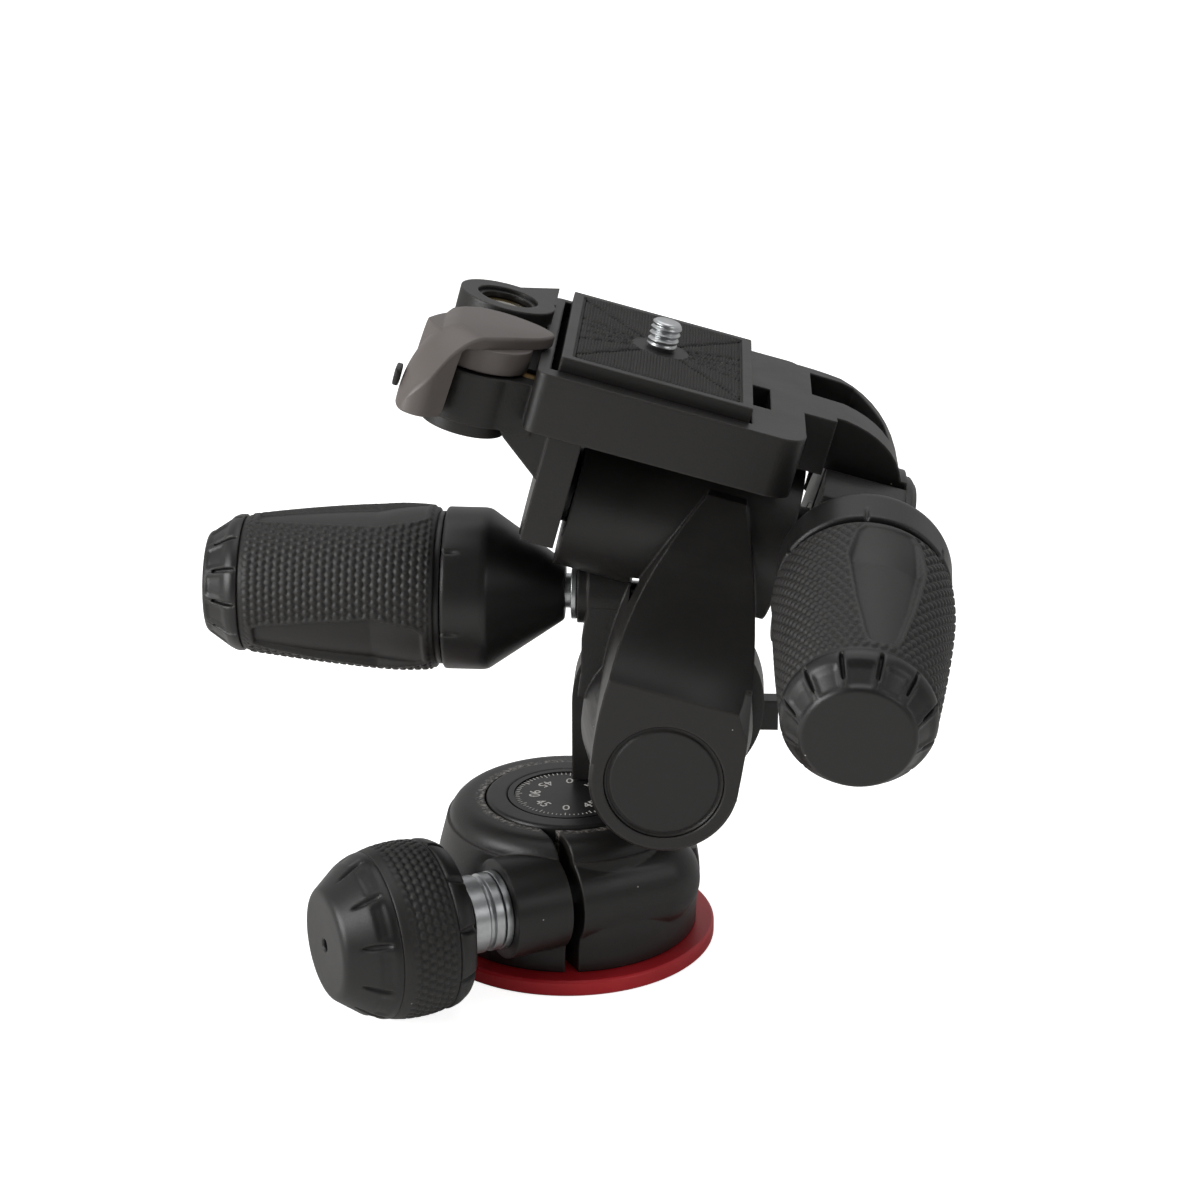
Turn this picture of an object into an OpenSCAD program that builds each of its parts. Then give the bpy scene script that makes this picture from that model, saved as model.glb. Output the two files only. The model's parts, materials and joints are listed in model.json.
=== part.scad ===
// Three way pan and tilt head for a camera.
// Z points up from the tripod, Y is the way the lens looks, X is to the operator's right.
// The origin is the middle of the base disc's underside, where the tripod stud goes in.

/* [Pose] */
// Lean of the lateral tilt to the right, from level
lean = 15.2; // [-15:0.1:90]
// Front tilt, positive with the lens up
front_tilt = 0; // [-90:1:30]

/* [Base] */
// Diameter of the base disc
base_d = 64; // [60:1:76]
// Thickness of the base disc
base_t = 3.7; // [3:0.1:5]
// Radius of the hole for the tripod stud
socket_r = 4.8; // [4.5:0.05:5.2]
// Depth of the hole for the tripod stud
socket_depth = 12; // [9:0.5:16]
// Radius of the spindle that the head pans on
spindle_r = 13; // [11.5:0.1:13.5]
// Radius of the scale disc on the spindle
dial_r = 11.6; // [10:0.1:12]
// Outer radius of the ring that keeps the housing on the spindle
keeper_r = 17.7; // [16.5:0.1:19]

/* [Pan housing] */
// Height of the housing's top above the tripod
housing_top = 32.2; // [31:0.1:36]
// Radius of the housing just above the base disc
housing_foot_r = 28; // [26:0.1:28.6]
// Largest radius of the housing
housing_r = 29; // [28:0.1:31]
// Radius of the housing at its shoulder
shoulder_r = 25.6; // [24.5:0.1:27]
// Wall of the liner between spindle and housing
liner_t = 1.5; // [1.2:0.1:1.8]
// Turn of the pan knob from the left towards the operator
knob_turn = 28.3; // [15:0.1:40]
// Distance from the pan axis to the pan screw
knob_offset = 18.9; // [18.7:0.1:20]
// Height of the pan screw
knob_z = 18.7; // [18.7:0.1:20]
// Radius of the clamp lug and of the clamp boss
lug_r = 10.6; // [9.5:0.1:11.5]
// Width of the clamp slots
slot_w = 2.6; // [2:0.1:3.2]

/* [Lateral axis] */
// Sideways place of the lateral tilt axis
axis_x = 21.4; // [20:0.1:23]
// Height of the lateral tilt axis
axis_z = 51.5; // [50:0.1:54]
// Radius of the ear that carries the lateral axle
ear_r = 20.8; // [19.5:0.1:21]
// Front face of the ear
ear_front = 6; // [5:0.1:6.5]
// Thickness of the ear
ear_t = 11; // [10:0.1:11.2]
// Radius of the two tilt axles
axle_r = 8; // [7:0.1:8.5]
// Wall of the bushes on the tilt axles
bush_t = 1.3; // [1:0.1:1.5]

/* [Tilt arm] */
// Distance from the pan axis to the front of the arm's boss
boss_front = 36.6; // [34:0.1:38]
// Radius of the arm's front boss
boss_r = 15.3; // [14.5:0.1:16]
// Radius of the arm's hub against the ear
hub_r = 18.2; // [17:0.1:18.2]
// Radius of the round cap in the boss
cap_r = 12.2; // [11.5:0.1:12.8]
// Height of the front tilt axis above the lateral one
barrel_z = 44.5; // [44:0.1:46]
// Radius of the barrel on the front tilt axis
barrel_r = 17; // [16:0.1:17.2]
// Left end of the barrel
barrel_left = -32.6; // [-33:0.1:-31]
// Right end of the barrel
barrel_right = 12.6; // [11:0.1:13]

/* [Platform] */
// Underside of the table above the lateral axis
table_low = 62.7; // [62.4:0.1:64]
// Thickness of the table
table_t = 12.3; // [11.5:0.1:14]
// Left side of the table
table_left = -46.6; // [-47:0.1:-46]
// Right side of the table
table_right = 8; // [7:0.1:9]
// Front side of the table
table_front = -32; // [-33:0.1:-31]
// Rear side of the table
table_rear = 27.6; // [27:0.1:29]
// Radius of the hub that clamps the front axle
clamp_r = 21; // [20:0.1:21.5]
// Inner side of the clamp hub
clamp_left = 16; // [15.5:0.1:17]
// Outer side of the clamp hub
clamp_right = 33; // [32:0.1:34]
// Thickness of the left cheek
cheek_t = 6.9; // [6:0.1:7.2]

/* [Camera plate] */
// Width of the plate's top
plate_w = 39; // [37:0.1:39.5]
// Length of the plate's top along the lens
plate_l = 52.4; // [50:0.1:53]
// Sideways place of the plate's middle from the lateral axis
plate_x = -23.2; // [-23.4:0.1:-23]
// How far the plate stands above the table
plate_rise = 3.5; // [3:0.1:4.5]
// Radius of the camera screw
camera_screw_r = 3.175; // [3:0.005:3.3]
// Height of the camera screw above the pad
camera_screw_h = 5.5; // [4.5:0.1:6]

/* [Plate lock and level] */
// Sideways place of the lever's pivot
pivot_x = -58.3; // [-58.8:0.1:-58]
// Lens-way place of the lever's pivot
pivot_y = -19; // [-19.5:0.1:-18.5]
// Radius of the wing round the pivot
wing_r = 11; // [10.5:0.1:11.5]
// Sideways place of the bubble level
level_x = -56; // [-56.5:0.1:-55.5]
// Lens-way place of the bubble level
level_y = 6; // [5.8:0.1:7]
// Radius of the boss that holds the level
level_boss_r = 10; // [9:0.1:10.2]
// Radius of the level's vial
vial_r = 6.3; // [5:0.1:7]

/* [Handles] */
// Droop of the lateral handle
lateral_droop = 14.5; // [13:0.1:16]
// Lens-way place of the lateral handle
lateral_y = 5; // [4.8:0.1:6]
// Height of the lateral screw's line over the axis
lateral_rise = 26.7; // [26.4:0.1:27]
// Distance along that line to the washer
lateral_reach = 26.4; // [26:0.1:28]
// Droop of the front handle
front_droop = 12; // [10:0.1:14]
// Sideways place of the front handle
front_x = 26.2; // [25.8:0.1:26.6]
// Height of the front screw over the front axis
front_rise = 15.6; // [15.2:0.1:16.2]
// Distance from the front axis to the front washer
front_reach = 13.4; // [13:0.1:14]
// Length of a handle's cone
cone_h = 18.7; // [17:0.1:21]
// Length of a handle's collar
collar_h = 9.3; // [8:0.1:11]
// Length of a handle's rubber
rubber_h = 42.9; // [40:0.1:50]
// Length of a handle's end cap
tip_h = 7.8; // [7:0.1:9]
// Largest radius of a handle
grip_r = 17.9; // [16.5:0.1:18]
// Radius of a handle's rubber at its end cap
grip_end_r = 14.6; // [13.5:0.1:15.5]
// Radius of a handle's flat end
face_r = 10.3; // [8:0.1:11]
// Radius of the rod that a grip slides on
rod_r = 4.5; // [4:0.1:5]
// Radius of the clamp screws
screw_r = 2.5; // [2.2:0.1:3]

/* [Pan knob] */
// Largest radius of the pan knob
knob_r = 18.4; // [17.5:0.1:18.5]
// Length of the pan knob
knob_h = 27.8; // [26:0.1:32]
// Distance along the pan screw to the knob
knob_reach = 36; // [35.5:0.1:38]
// Radius of the pan knob's flat end
knob_face_r = 11; // [9:0.1:12]

/* [Clearances] */
// Radial gap of a turning or sliding fit
run_gap = 0.05; // [0.02:0.01:0.09]
// Gap between parts that pass each other
pass_gap = 0.4; // [0.3:0.05:0.6]

/* [Hidden] */
$fn = 96;

black = [0.10, 0.10, 0.10];
rubber_black = [0.07, 0.07, 0.07];
zinc = [0.78, 0.79, 0.80];
cut = 0.6;
big = 200;

liner_r = spindle_r + run_gap + liner_t;
spindle_top = housing_top + 0.6;
keeper_low = housing_top - 3;
foot_r = 20;
foot_top = base_t + 2.6;
housing_low = base_t + 0.2;
dial_t = 0.8;
disc_screw_ring = 16.2;
lug_end = 25;
boss_l = 10.6;
keeper_top = housing_top + 0.6;
column_low = keeper_top + 0.6;
slot_reach = 14.5;
cup_low = lug_end + 1.7;
cup_high = lug_end + 8.6;
nut_r = screw_r + 2.1;
cup_r = 8.2;

ear_back = ear_front + ear_t;
hub_back = ear_front - 0.8;
bush_r = axle_r + run_gap + bush_t;
cap_t = 1.6;
boss_floor = 6;
ledge_y = -boss_front + boss_floor - 1.6;
axle_end = -boss_front + boss_floor + 2.2;
seat_back = ear_back - 4.5;
hub_slot_front = -14;
neck_rear = 12;
lateral_lug_r = 8.4;
cheek_in = barrel_left - 1.6;
cheek_out = cheek_in - cheek_t;
cheek_front = -27;

table_top = table_low + table_t;
plate_top = table_top + plate_rise;
plate_left = plate_x - plate_w / 2;
plate_right = plate_x + plate_w / 2;
pad_t = 0.9;
pad_inset = 2.2;
pocket_low = table_top - 7;
wing_top = table_top - 4.6;
wing_low = table_low - 2.7;
level_top = table_top + 3;
lever_low = wing_top + 0.3;
lever_mid = table_top + pass_gap;
lever_top = table_top + 3.4;
cam_offset = 2;
cam_r = 5.2;
cam_low = wing_top - 6;
cam_high = wing_top - 0.4;
pin_r = 2.45;
tongue_left = pivot_x + cam_r + cam_offset * cos(45) + 0.1;
pad_low = wing_low + 1.2;
catch_low = pad_low + 3.2;
catch_top = lever_top - 4.4;

lug_t = 7.2;
tilt_up = 30;
tilt_down = 90;

cone_r = grip_r - 0.9;
collar_r = grip_r - 0.6;
core_r = 11.6;
washer_r = 6;
washer_t = 1.2;
grip_gap = 0.3;
grip_low = cone_h + collar_h + grip_gap;
grip_high = cone_h + collar_h + rubber_h;
handle_h = grip_high + tip_h;
rod_high = grip_high - 2;
flat_w = 1.65 * rod_r;
grip_notches = 12;
knob_notches = 10;
knob_band_low = 5;
knob_band_high = 17.2;

// ---- places: each lays its children out on one of the head's axes ----

module on_lateral_axis() {
    translate([axis_x, 0, axis_z]) rotate([0, lean, 0]) children();
}

module on_platform() {
    on_lateral_axis()
        translate([0, 0, barrel_z]) rotate([front_tilt, 0, 0])
            translate([0, 0, -barrel_z]) children();
}

// Local Z runs out along the pan screw, from the point nearest to the pan axis.
module on_pan_screw() {
    rotate([0, 0, knob_turn]) translate([0, -knob_offset, knob_z]) rotate([0, -90, 0]) children();
}

// Local Z runs out along the lateral handle, from its washer.
module on_lateral_screw() {
    translate([0, lateral_y, lateral_rise]) rotate([0, -90 - lateral_droop, 0])
        translate([0, 0, lateral_reach]) children();
}

// Local Z runs out along the front handle, from its washer.
module on_front_screw() {
    translate([front_x, 0, barrel_z + front_rise]) rotate([90 + front_droop, 0, 0])
        translate([0, 0, front_reach]) children();
}

// ---- shapes used by several pieces ----

module rod_x(x0, x1, r) {
    translate([x0, 0, 0]) rotate([0, 90, 0]) cylinder(h = x1 - x0, r = r);
}

module rod_y(y0, y1, r) {
    translate([0, y1, 0]) rotate([90, 0, 0]) cylinder(h = y1 - y0, r = r);
}

// A profile drawn in Y and Z, carried from x0 to x1.
module along_x(x0, x1) {
    translate([x0, 0, 0]) rotate([90, 0, 90]) linear_extrude(x1 - x0) children();
}

// A profile drawn in X and Z, carried from y0 to y1.
module along_y(y0, y1) {
    translate([0, y1, 0]) rotate([90, 0, 0]) linear_extrude(y1 - y0) children();
}

module ring(h, r_out, r_in) {
    difference() {
        cylinder(h = h, r = r_out);
        translate([0, 0, -1]) cylinder(h = h + 2, r = r_in);
    }
}

// A shaft with two flats, so that what slides on it turns with it.
module flatted(h, r, w) {
    intersection() {
        cylinder(h = h, r = r);
        translate([-w / 2, -r - 1, -1]) cube([w, 2 * r + 2, h + 2]);
    }
}

// Notches round an edge: n short cuts at radius r, each w wide and deep, over z0 to z1.
module edge_notches(n, r, w, deep, z0, z1) {
    for (i = [0 : n - 1])
        rotate([0, 0, i * 360 / n])
            translate([r - deep, -w / 2, z0]) cube([deep + 4, w, z1 - z0]);
}

function arc(cx, cy, r, a0, a1, n) =
    [for (i = [0 : n]) [cx + r * cos(a0 + (a1 - a0) * i / n), cy + r * sin(a0 + (a1 - a0) * i / n)]];

function bezier(p, n) =
    [for (i = [0 : n]) let (t = i / n, s = 1 - t)
        s * s * s * p[0] + 3 * s * s * t * p[1] + 3 * s * t * t * p[2] + t * t * t * p[3]];

// ---- base: what stays on the tripod ----

module base_plate() color([0.55, 0.11, 0.16]) difference() {
    rotate_extrude() polygon([
        [0, 0], [base_d / 2 - 0.6, 0], [base_d / 2, 0.6], [base_d / 2, base_t - 0.5],
        [base_d / 2 - 0.5, base_t], [0, base_t]
    ]);
    translate([0, 0, -1]) cylinder(h = base_t + 2, r = socket_r + 3);
    for (a = [30 : 120 : 270])
        rotate([0, 0, a]) translate([disc_screw_ring, 0, -1]) cylinder(h = base_t + 2, r = 1.6);
    for (a = [30 : 120 : 270])
        rotate([0, 0, a]) translate([disc_screw_ring, 0, -cut])
            cylinder(h = 2.2 + cut, r1 = 3.4 + cut, r2 = 1.6);
}

// Three countersunk screws hold the disc to the spindle's foot.
module base_screws() color(zinc)
    for (a = [30 : 120 : 270])
        rotate([0, 0, a]) translate([disc_screw_ring, 0, 0.1]) difference() {
            union() {
                cylinder(h = 1.9, r1 = 3.3, r2 = 1.5);
                cylinder(h = foot_top - 0.6, r = 1.5);
            }
            translate([0, 0, -0.1]) cylinder(h = 1.1, r = 1.2, $fn = 6);
        }

module thread_bush() color(zinc) difference() {
    union() {
        cylinder(h = socket_depth + 1.5, r = socket_r + 2.4);
        translate([0, 0, base_t]) cylinder(h = 1.4, r = socket_r + 4);
    }
    translate([0, 0, -1]) cylinder(h = socket_depth + 1, r = socket_r);
}

module pan_spindle() color([0.62, 0.63, 0.64]) difference() {
    union() {
        translate([0, 0, base_t]) cylinder(h = foot_top - base_t, r = foot_r);
        translate([0, 0, base_t]) cylinder(h = spindle_top - base_t, r = spindle_r);
    }
    translate([0, 0, base_t - 1]) cylinder(h = socket_depth + 1.5 - base_t + 1.2, r = socket_r + 2.45);
    translate([0, 0, base_t - 1]) cylinder(h = 2.5, r = socket_r + 4.05);
    translate([0, 0, spindle_top - dial_t - 0.3]) cylinder(h = 3, r = dial_r + 0.1);
    for (a = [30 : 120 : 270])
        rotate([0, 0, a]) translate([disc_screw_ring, 0, base_t - 1]) cylinder(h = 5, r = 1.5);
}

// The ring is pressed on the spindle over the housing, and keeps it from lifting.
module keeper_ring() color(black)
    rotate_extrude() polygon([
        [spindle_r, keeper_low + 0.2], [keeper_r, keeper_low + 0.2], [keeper_r, keeper_top - 0.5],
        [keeper_r - 0.5, keeper_top], [spindle_r + 0.4, keeper_top], [spindle_r, keeper_top - 0.4]
    ]);

module pan_dial() color([0.16, 0.16, 0.17])
    translate([0, 0, spindle_top - dial_t - 0.3]) cylinder(h = dial_t, r = dial_r);

// ---- pan housing: the split ring that turns on the spindle, with the ear of the lateral axle ----

module housing_shell() {
    rotate_extrude() polygon(concat(
        [[0, housing_low], [housing_foot_r, housing_low], [housing_r - 0.8, 9]],
        bezier([[housing_r - 0.8, 9], [housing_r + 0.2, 13], [housing_r - 0.2, 17], [housing_r - 1, 21]], 6),
        [[shoulder_r + 0.6, housing_top - 4]],
        arc(shoulder_r - 4.6, housing_top - 4.8, 4.8, 8, 90, 8),
        [[0, housing_top]]
    ));
}

// The ear's outline: a disc on the lateral axis that runs down into the housing.
module ear_outline() {
    translate([axis_x, axis_z]) circle(r = ear_r);
    polygon([
        [axis_x - ear_r, axis_z], [axis_x - ear_r, housing_top - 8], [shoulder_r - 1, housing_top - 8],
        [axis_x + ear_r * cos(-28), axis_z + ear_r * sin(-28)]
    ]);
}

module pan_housing() color(black) difference() {
    union() {
        housing_shell();
        along_y(ear_front, ear_back) ear_outline();
        // stop lug behind the ear's right edge
        translate([axis_x + ear_r - 1.4, ear_back - 4.6, axis_z - 8.4]) cube([4.6, 4.6, 6.8]);
        on_pan_screw() translate([0, 0, -boss_l]) cylinder(h = boss_l + lug_end, r = lug_r);
        on_pan_screw() translate([0, 0, -boss_l]) sphere(r = lug_r);
    }
    // bore for the liner and counterbores for the spindle's foot and the keeper ring
    translate([0, 0, -1]) cylinder(h = column_low + 1, r = liner_r);
    translate([0, 0, -1]) cylinder(h = foot_top + 1.3, r = foot_r + pass_gap);
    translate([0, 0, keeper_low]) cylinder(h = column_low - keeper_low, r = keeper_r + pass_gap);
    // the clamp slot, square to the screw, out to the front
    on_pan_screw() translate([-big / 2, -big, 10]) cube([big, big + slot_reach, slot_w]);
    // screw hole, nut pocket, flat seat for the washer, and the flat floor of the lug under the base disc
    on_pan_screw() translate([0, 0, -12]) cylinder(h = 50, r = screw_r + 0.15);
    on_pan_screw() translate([0, 0, -26]) cylinder(h = 14, r = nut_r + 0.1, $fn = 6);
    on_pan_screw() translate([0, 0, lug_end]) cylinder(h = 30, r = cup_r + 1);
    translate([0, 0, housing_low - big]) cylinder(h = big, r = 60);
    // the lateral axle's seat, shouldered at the front
    translate([axis_x, 0, axis_z]) rod_y(-1, seat_back + 0.1, axle_r);
    translate([axis_x, 0, axis_z]) rod_y(seat_back, ear_back + 9, 13);
}

// The liner is split like the housing, and shows in the slot.
module pan_liner() color([0.80, 0.74, 0.60]) difference() {
    translate([0, 0, foot_top + 0.4]) ring(keeper_low - foot_top - 0.6, liner_r, spindle_r + run_gap);
    on_pan_screw() translate([-big / 2, -big, 10.8]) cube([big, big + slot_reach, slot_w - 1.6]);
}

module pan_nut() color(zinc)
    on_pan_screw() translate([0, 0, -17]) difference() {
        cylinder(h = 5, r = nut_r, $fn = 6);
        translate([0, 0, -1]) cylinder(h = 7, r = screw_r + run_gap);
    }

module lateral_axle() color([0.70, 0.71, 0.72])
    translate([axis_x, 0, axis_z]) difference() {
        union() {
            rod_y(axle_end, seat_back, axle_r);
            rod_y(seat_back, ear_back + 1, 5);
        }
        rod_y(-boss_front, -boss_front + 24, 2.5);
    }

module axle_nut() color(zinc)
    translate([axis_x, 0, axis_z]) difference() {
        union() {
            rod_y(seat_back, seat_back + 1.3, 11);
            translate([0, ear_back + 0.8, 0]) rotate([90, 0, 0]) cylinder(h = 4, r = 9.4, $fn = 6);
        }
        rod_y(ear_back - 9, ear_back + 9, 5);
    }

module ear_cap() color(black)
    translate([axis_x, 0, axis_z]) difference() {
        union() {
            rod_y(ear_back + 1.4, ear_back + 2.4, 13.6);
            rod_y(ear_back - 3, ear_back + 1.6, 12.95);
        }
        rod_y(ear_back - 5, ear_back + 1.2, 11.4);
    }

// The arm's hub rubs on this washer, not on the ear.
module friction_washer() color([0.85, 0.83, 0.76])
    translate([axis_x, 0, axis_z]) difference() {
        rod_y(hub_back + 0.1, ear_front, hub_r - 1.4);
        rod_y(hub_back - 1, ear_front + 1, axle_r);
    }

// ---- pan knob: the screw that closes the housing on the spindle ----

module pan_screw() color(zinc) on_pan_screw() {
    translate([0, 0, -18]) cylinder(h = knob_reach + 18 + 12, r = screw_r);
}

// The cup has a groove round it and is hollow towards the knob.
module pan_cup() color(zinc) on_pan_screw()
    rotate_extrude() polygon([
        [screw_r, cup_low], [cup_r - 0.3, cup_low], [cup_r, cup_low + 0.3], [cup_r, cup_low + 2.2],
        [cup_r - 0.7, cup_low + 2.5], [cup_r - 0.7, cup_low + 3.2], [cup_r, cup_low + 3.5], [cup_r, cup_high],
        [cup_r - 1, cup_high], [cup_r - 1.7, cup_high - 2.8],
        [screw_r, cup_high - 2.8]
    ]);

module pan_washer() color(zinc)
    on_pan_screw() translate([0, 0, lug_end + 0.1]) ring(cup_low - lug_end - 0.2, cup_r + 0.1, screw_r);

module pan_knob_core() color(black) on_pan_screw() translate([0, 0, knob_reach]) difference() {
    rotate_extrude() polygon([
        [screw_r, cup_high - 2.6 - knob_reach], [5.6, cup_high - 2.6 - knob_reach], [5.6, 0], [14, 0],
        [knob_r - 2, 1], [knob_r - 0.8, 3], [knob_r - 0.4, knob_band_low - 0.1],
        [core_r, knob_band_low - 0.1], [core_r, knob_band_high + 0.1], [screw_r, knob_band_high + 0.1]
    ]);
    edge_notches(knob_notches, knob_r - 0.8, 2, 2.2, -1, 3.4);
    translate([0, 0, -9]) cylinder(h = 21.2, r = screw_r);
}

module pan_knob_rubber() color(rubber_black) on_pan_screw() translate([0, 0, knob_reach])
    rotate_extrude() polygon([
        [core_r, knob_band_low], [knob_r - 0.6, knob_band_low], [knob_r, knob_band_low + 0.8],
        [knob_r, knob_band_high - 4], [knob_r - 0.8, knob_band_high], [core_r, knob_band_high]
    ]);

module pan_knob_cap() color(black) on_pan_screw() translate([0, 0, knob_reach]) difference() {
    rotate_extrude() polygon([
        [0, knob_band_high + 0.1], [knob_r - 1, knob_band_high + 0.1], [knob_r - 1.8, knob_band_high + 3.4],
        [knob_face_r + 0.6, knob_h - 0.6], [knob_face_r, knob_h], [1.3, knob_h], [1.3, knob_h - 2],
        [0, knob_h - 2]
    ]);
    edge_notches(knob_notches, knob_r - 1.6, 1.8, 1.6, knob_band_high + 0.6, knob_band_high + 7);
}

// ---- tilt arm: turns on the lateral axle and carries the barrel of the front axle ----

// The neck seen from the operator: wide at the boss, bending left and narrow at the barrel.
module neck_front() {
    polygon(concat(
        bezier([[-boss_r, 0], [-boss_r - 3, 17], [-boss_r - 1.6, 36], [-5.6, barrel_z + 12]], 14),
        bezier([[1, barrel_z + 12], [9, 38], [13, 26], [boss_r, 0]], 14)
    ));
}

// The neck seen from the side: the boss's flat face, the scoop above it and the barrel.
module neck_side() {
    polygon(concat(
        [[hub_back, -boss_r], [-boss_front, -boss_r], [-boss_front, 18.5]],
        bezier([[-boss_front, 18.5], [-boss_front + 5, 21], [-24, 28], [-20.6, 43]], 12),
        [[-15.4, barrel_z + 10.2], [-9, barrel_z + 12]],
        [[neck_rear, barrel_z], [neck_rear, ear_r - 4], [hub_back, ear_r - 4]]
    ));
}

// Room for the front handle's grip beside the boss, at the end of the tilt with the lens up.
module grip_room() {
    translate([0, 0, barrel_z]) rotate([tilt_up, 0, 0]) translate([0, 0, -barrel_z])
        on_front_screw() translate([0, 0, grip_low]) cylinder(h = rubber_h, r = grip_r + 2 * pass_gap);
}

module arm_hub() {
    rotate([90, 0, 0]) rotate_extrude() polygon([
        [0, -hub_back], [hub_r, -hub_back], [hub_r, 6], [boss_r, 24], [boss_r, boss_front - 0.6],
        [boss_r - 0.6, boss_front], [0, boss_front]
    ]);
}

// The lug that the lateral handle pulls against the arm.
module lateral_lug() {
    on_lateral_screw() {
        translate([0, 0, -11.4]) cylinder(h = 9, r = lateral_lug_r);
        translate([0, 0, -3]) cylinder(h = 2.9, r = washer_r + 0.8);
    }
    along_y(lateral_y - lateral_lug_r, hub_back)
        polygon([[-22.8, 20], [-13, 22], [-13, 0], [-hub_r - 1.6, 0], [-hub_r - 2.2, 5], [-22.4, 13]]);
}

// The slot down beside the neck into the bore, that the lateral handle closes; w is its width.
module hub_slot(w) {
    on_lateral_screw() translate([-25, hub_slot_front - lateral_y, -11.4 - (slot_w + w) / 2])
        cube([34, 60, w]);
}

module tilt_arm() color(black) on_lateral_axis() difference() {
    union() {
        intersection() {
            along_y(-boss_front, neck_rear) neck_front();
            along_x(-boss_r - 3, boss_r + 1) neck_side();
        }
        arm_hub();
        difference() {
            lateral_lug();
            translate([0, 0, barrel_z]) rod_x(barrel_left - 1, barrel_right + 1, barrel_r + 0.5);
        }
        translate([0, 0, barrel_z]) rod_x(barrel_left, barrel_right, barrel_r);
    }
    // lateral bore, the cap's recess and the ledge that the axle screw bears on
    rod_y(-boss_front + boss_floor, big, bush_r);
    rod_y(-boss_front - 1, -boss_front + cap_t + 0.2, cap_r + 0.1);
    rod_y(-boss_front - 1, ledge_y, 9);
    rod_y(-boss_front - 1, -boss_front + boss_floor + 1, 3.2);
    // clamp slot beside the neck, down to the bore
    hub_slot(slot_w);
    // the lateral screw's hole and its nut's pocket, and room for the ear behind the hub
    on_lateral_screw() translate([0, 0, -25]) cylinder(h = 30, r = screw_r + 0.15);
    on_lateral_screw() translate([0, 0, -25]) rotate([0, 0, 30]) cylinder(h = 5.3, r = nut_r + 0.1, $fn = 6);
    rod_y(hub_back, ear_back + 20, ear_r + pass_gap);
    // front bore
    translate([0, 0, barrel_z]) rod_x(-big, big, axle_r);
    grip_room();
}

module lateral_bush() color([0.80, 0.74, 0.60]) on_lateral_axis() difference() {
    rod_y(-boss_front + boss_floor, hub_back - 0.1, bush_r);
    rod_y(-boss_front, big, axle_r + run_gap);
    hub_slot(slot_w - 1.6);
}

// Screw and washer hold the arm back against the ear.
module axle_screw() color(zinc) translate([axis_x, 0, axis_z]) difference() {
    union() {
        rod_y(ledge_y - 2.4, ledge_y - 0.3, 4.6);
        rod_y(ledge_y - 1.3, ledge_y - 0.3, 8.2);
        rod_y(ledge_y - 0.4, axle_end + 14, 2.5);
    }
    rod_y(-boss_front, ledge_y - 1, 2);
}

module pivot_cap() color([0.12, 0.12, 0.12]) on_lateral_axis() difference() {
    rotate([90, 0, 0]) translate([0, 0, boss_front - cap_t]) cylinder(h = cap_t - 0.4, r = cap_r);
    rotate([90, 0, 0]) translate([0, 0, boss_front - 0.8]) ring(1, cap_r - 0.5, cap_r - 1.1);
}

module lateral_nut() color(zinc) on_lateral_axis() on_lateral_screw()
    translate([0, 0, -24.5]) difference() {
        rotate([0, 0, 30]) cylinder(h = 4.6, r = nut_r, $fn = 6);
        translate([0, 0, -1]) cylinder(h = 7, r = screw_r + run_gap);
    }

module front_axle() color([0.70, 0.71, 0.72]) on_lateral_axis() translate([0, 0, barrel_z])
    rod_x(cheek_out + 1.6, clamp_right - 0.6, axle_r);

// ---- handles: a screw with a cone, and a grip that draws out along its rod ----

module handle_screw(inner) color(zinc) {
    translate([0, 0, -inner]) cylinder(h = inner + 9, r = screw_r);
    translate([0, 0, washer_t + 0.1]) cylinder(h = 1.2, r = screw_r + 1.2);
}

module handle_washer() color(zinc) translate([0, 0, 0.05]) ring(washer_t, washer_r, screw_r);

module handle_cone() color(black) difference() {
    rotate_extrude() polygon(concat(
        [[0, 2.6], [washer_r, 2.6], [washer_r + 0.4, 3]],
        [[cone_r - 0.5, cone_h], [cone_r, cone_h + 0.6], [collar_r, cone_h + 1.2]],
        [[collar_r, cone_h + collar_h], [0, cone_h + collar_h]]
    ));
    cylinder(h = 9, r = screw_r);
    translate([0, 0, 9.4]) flatted(big, rod_r, flat_w);
    edge_notches(grip_notches, collar_r, 2, 0.7, cone_h + collar_h - 2.4, cone_h + collar_h + 1);
}

module handle_rod() color([0.66, 0.67, 0.68])
    translate([0, 0, 9.4]) flatted(rod_high - 9.4, rod_r, flat_w);

module grip_core() color(black) translate([0, 0, grip_low]) difference() {
    union() {
        cylinder(h = grip_high - grip_low, r = core_r);
        cylinder(h = 1.2, r = collar_r - 1);
    }
    translate([0, 0, -1]) flatted(grip_high - grip_low - 0.6, rod_r + run_gap, flat_w + 2 * run_gap);
}

// Radius of the grip at height h: fullest a fifth of the way up, slimmer at both ends.
function grip_radius(h) =
    let (t = (h - grip_low) / (grip_high - grip_low))
    t < 0.2 ? grip_r - 0.7 * pow(1 - t / 0.2, 2)
            : grip_r - (grip_r - grip_end_r) * pow((t - 0.2) / 0.8, 1.35);

// Three thumb panels are sunk into the rubber, one of them on top; up is the angle of the top.
module grip_rubber(up) color(rubber_black) difference() {
    rotate_extrude() polygon(concat(
        [[core_r, grip_low + 1.2]],
        [for (i = [0 : 12]) let (h = grip_low + 1.2 + (grip_high - grip_low - 1.2) * i / 12) [grip_radius(h), h]],
        [[core_r, grip_high]]
    ));
    for (a = [0 : 120 : 240])
        rotate([0, 0, up + a - 24]) rotate_extrude(angle = 48) polygon(concat(
            [for (i = [0 : 8]) let (h = grip_low + 6 + (rubber_h - 14) * i / 8) [grip_radius(h) - 0.8, h]],
            [[grip_r + 4, grip_low + rubber_h - 8], [grip_r + 4, grip_low + 6]]
        ));
}

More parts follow.
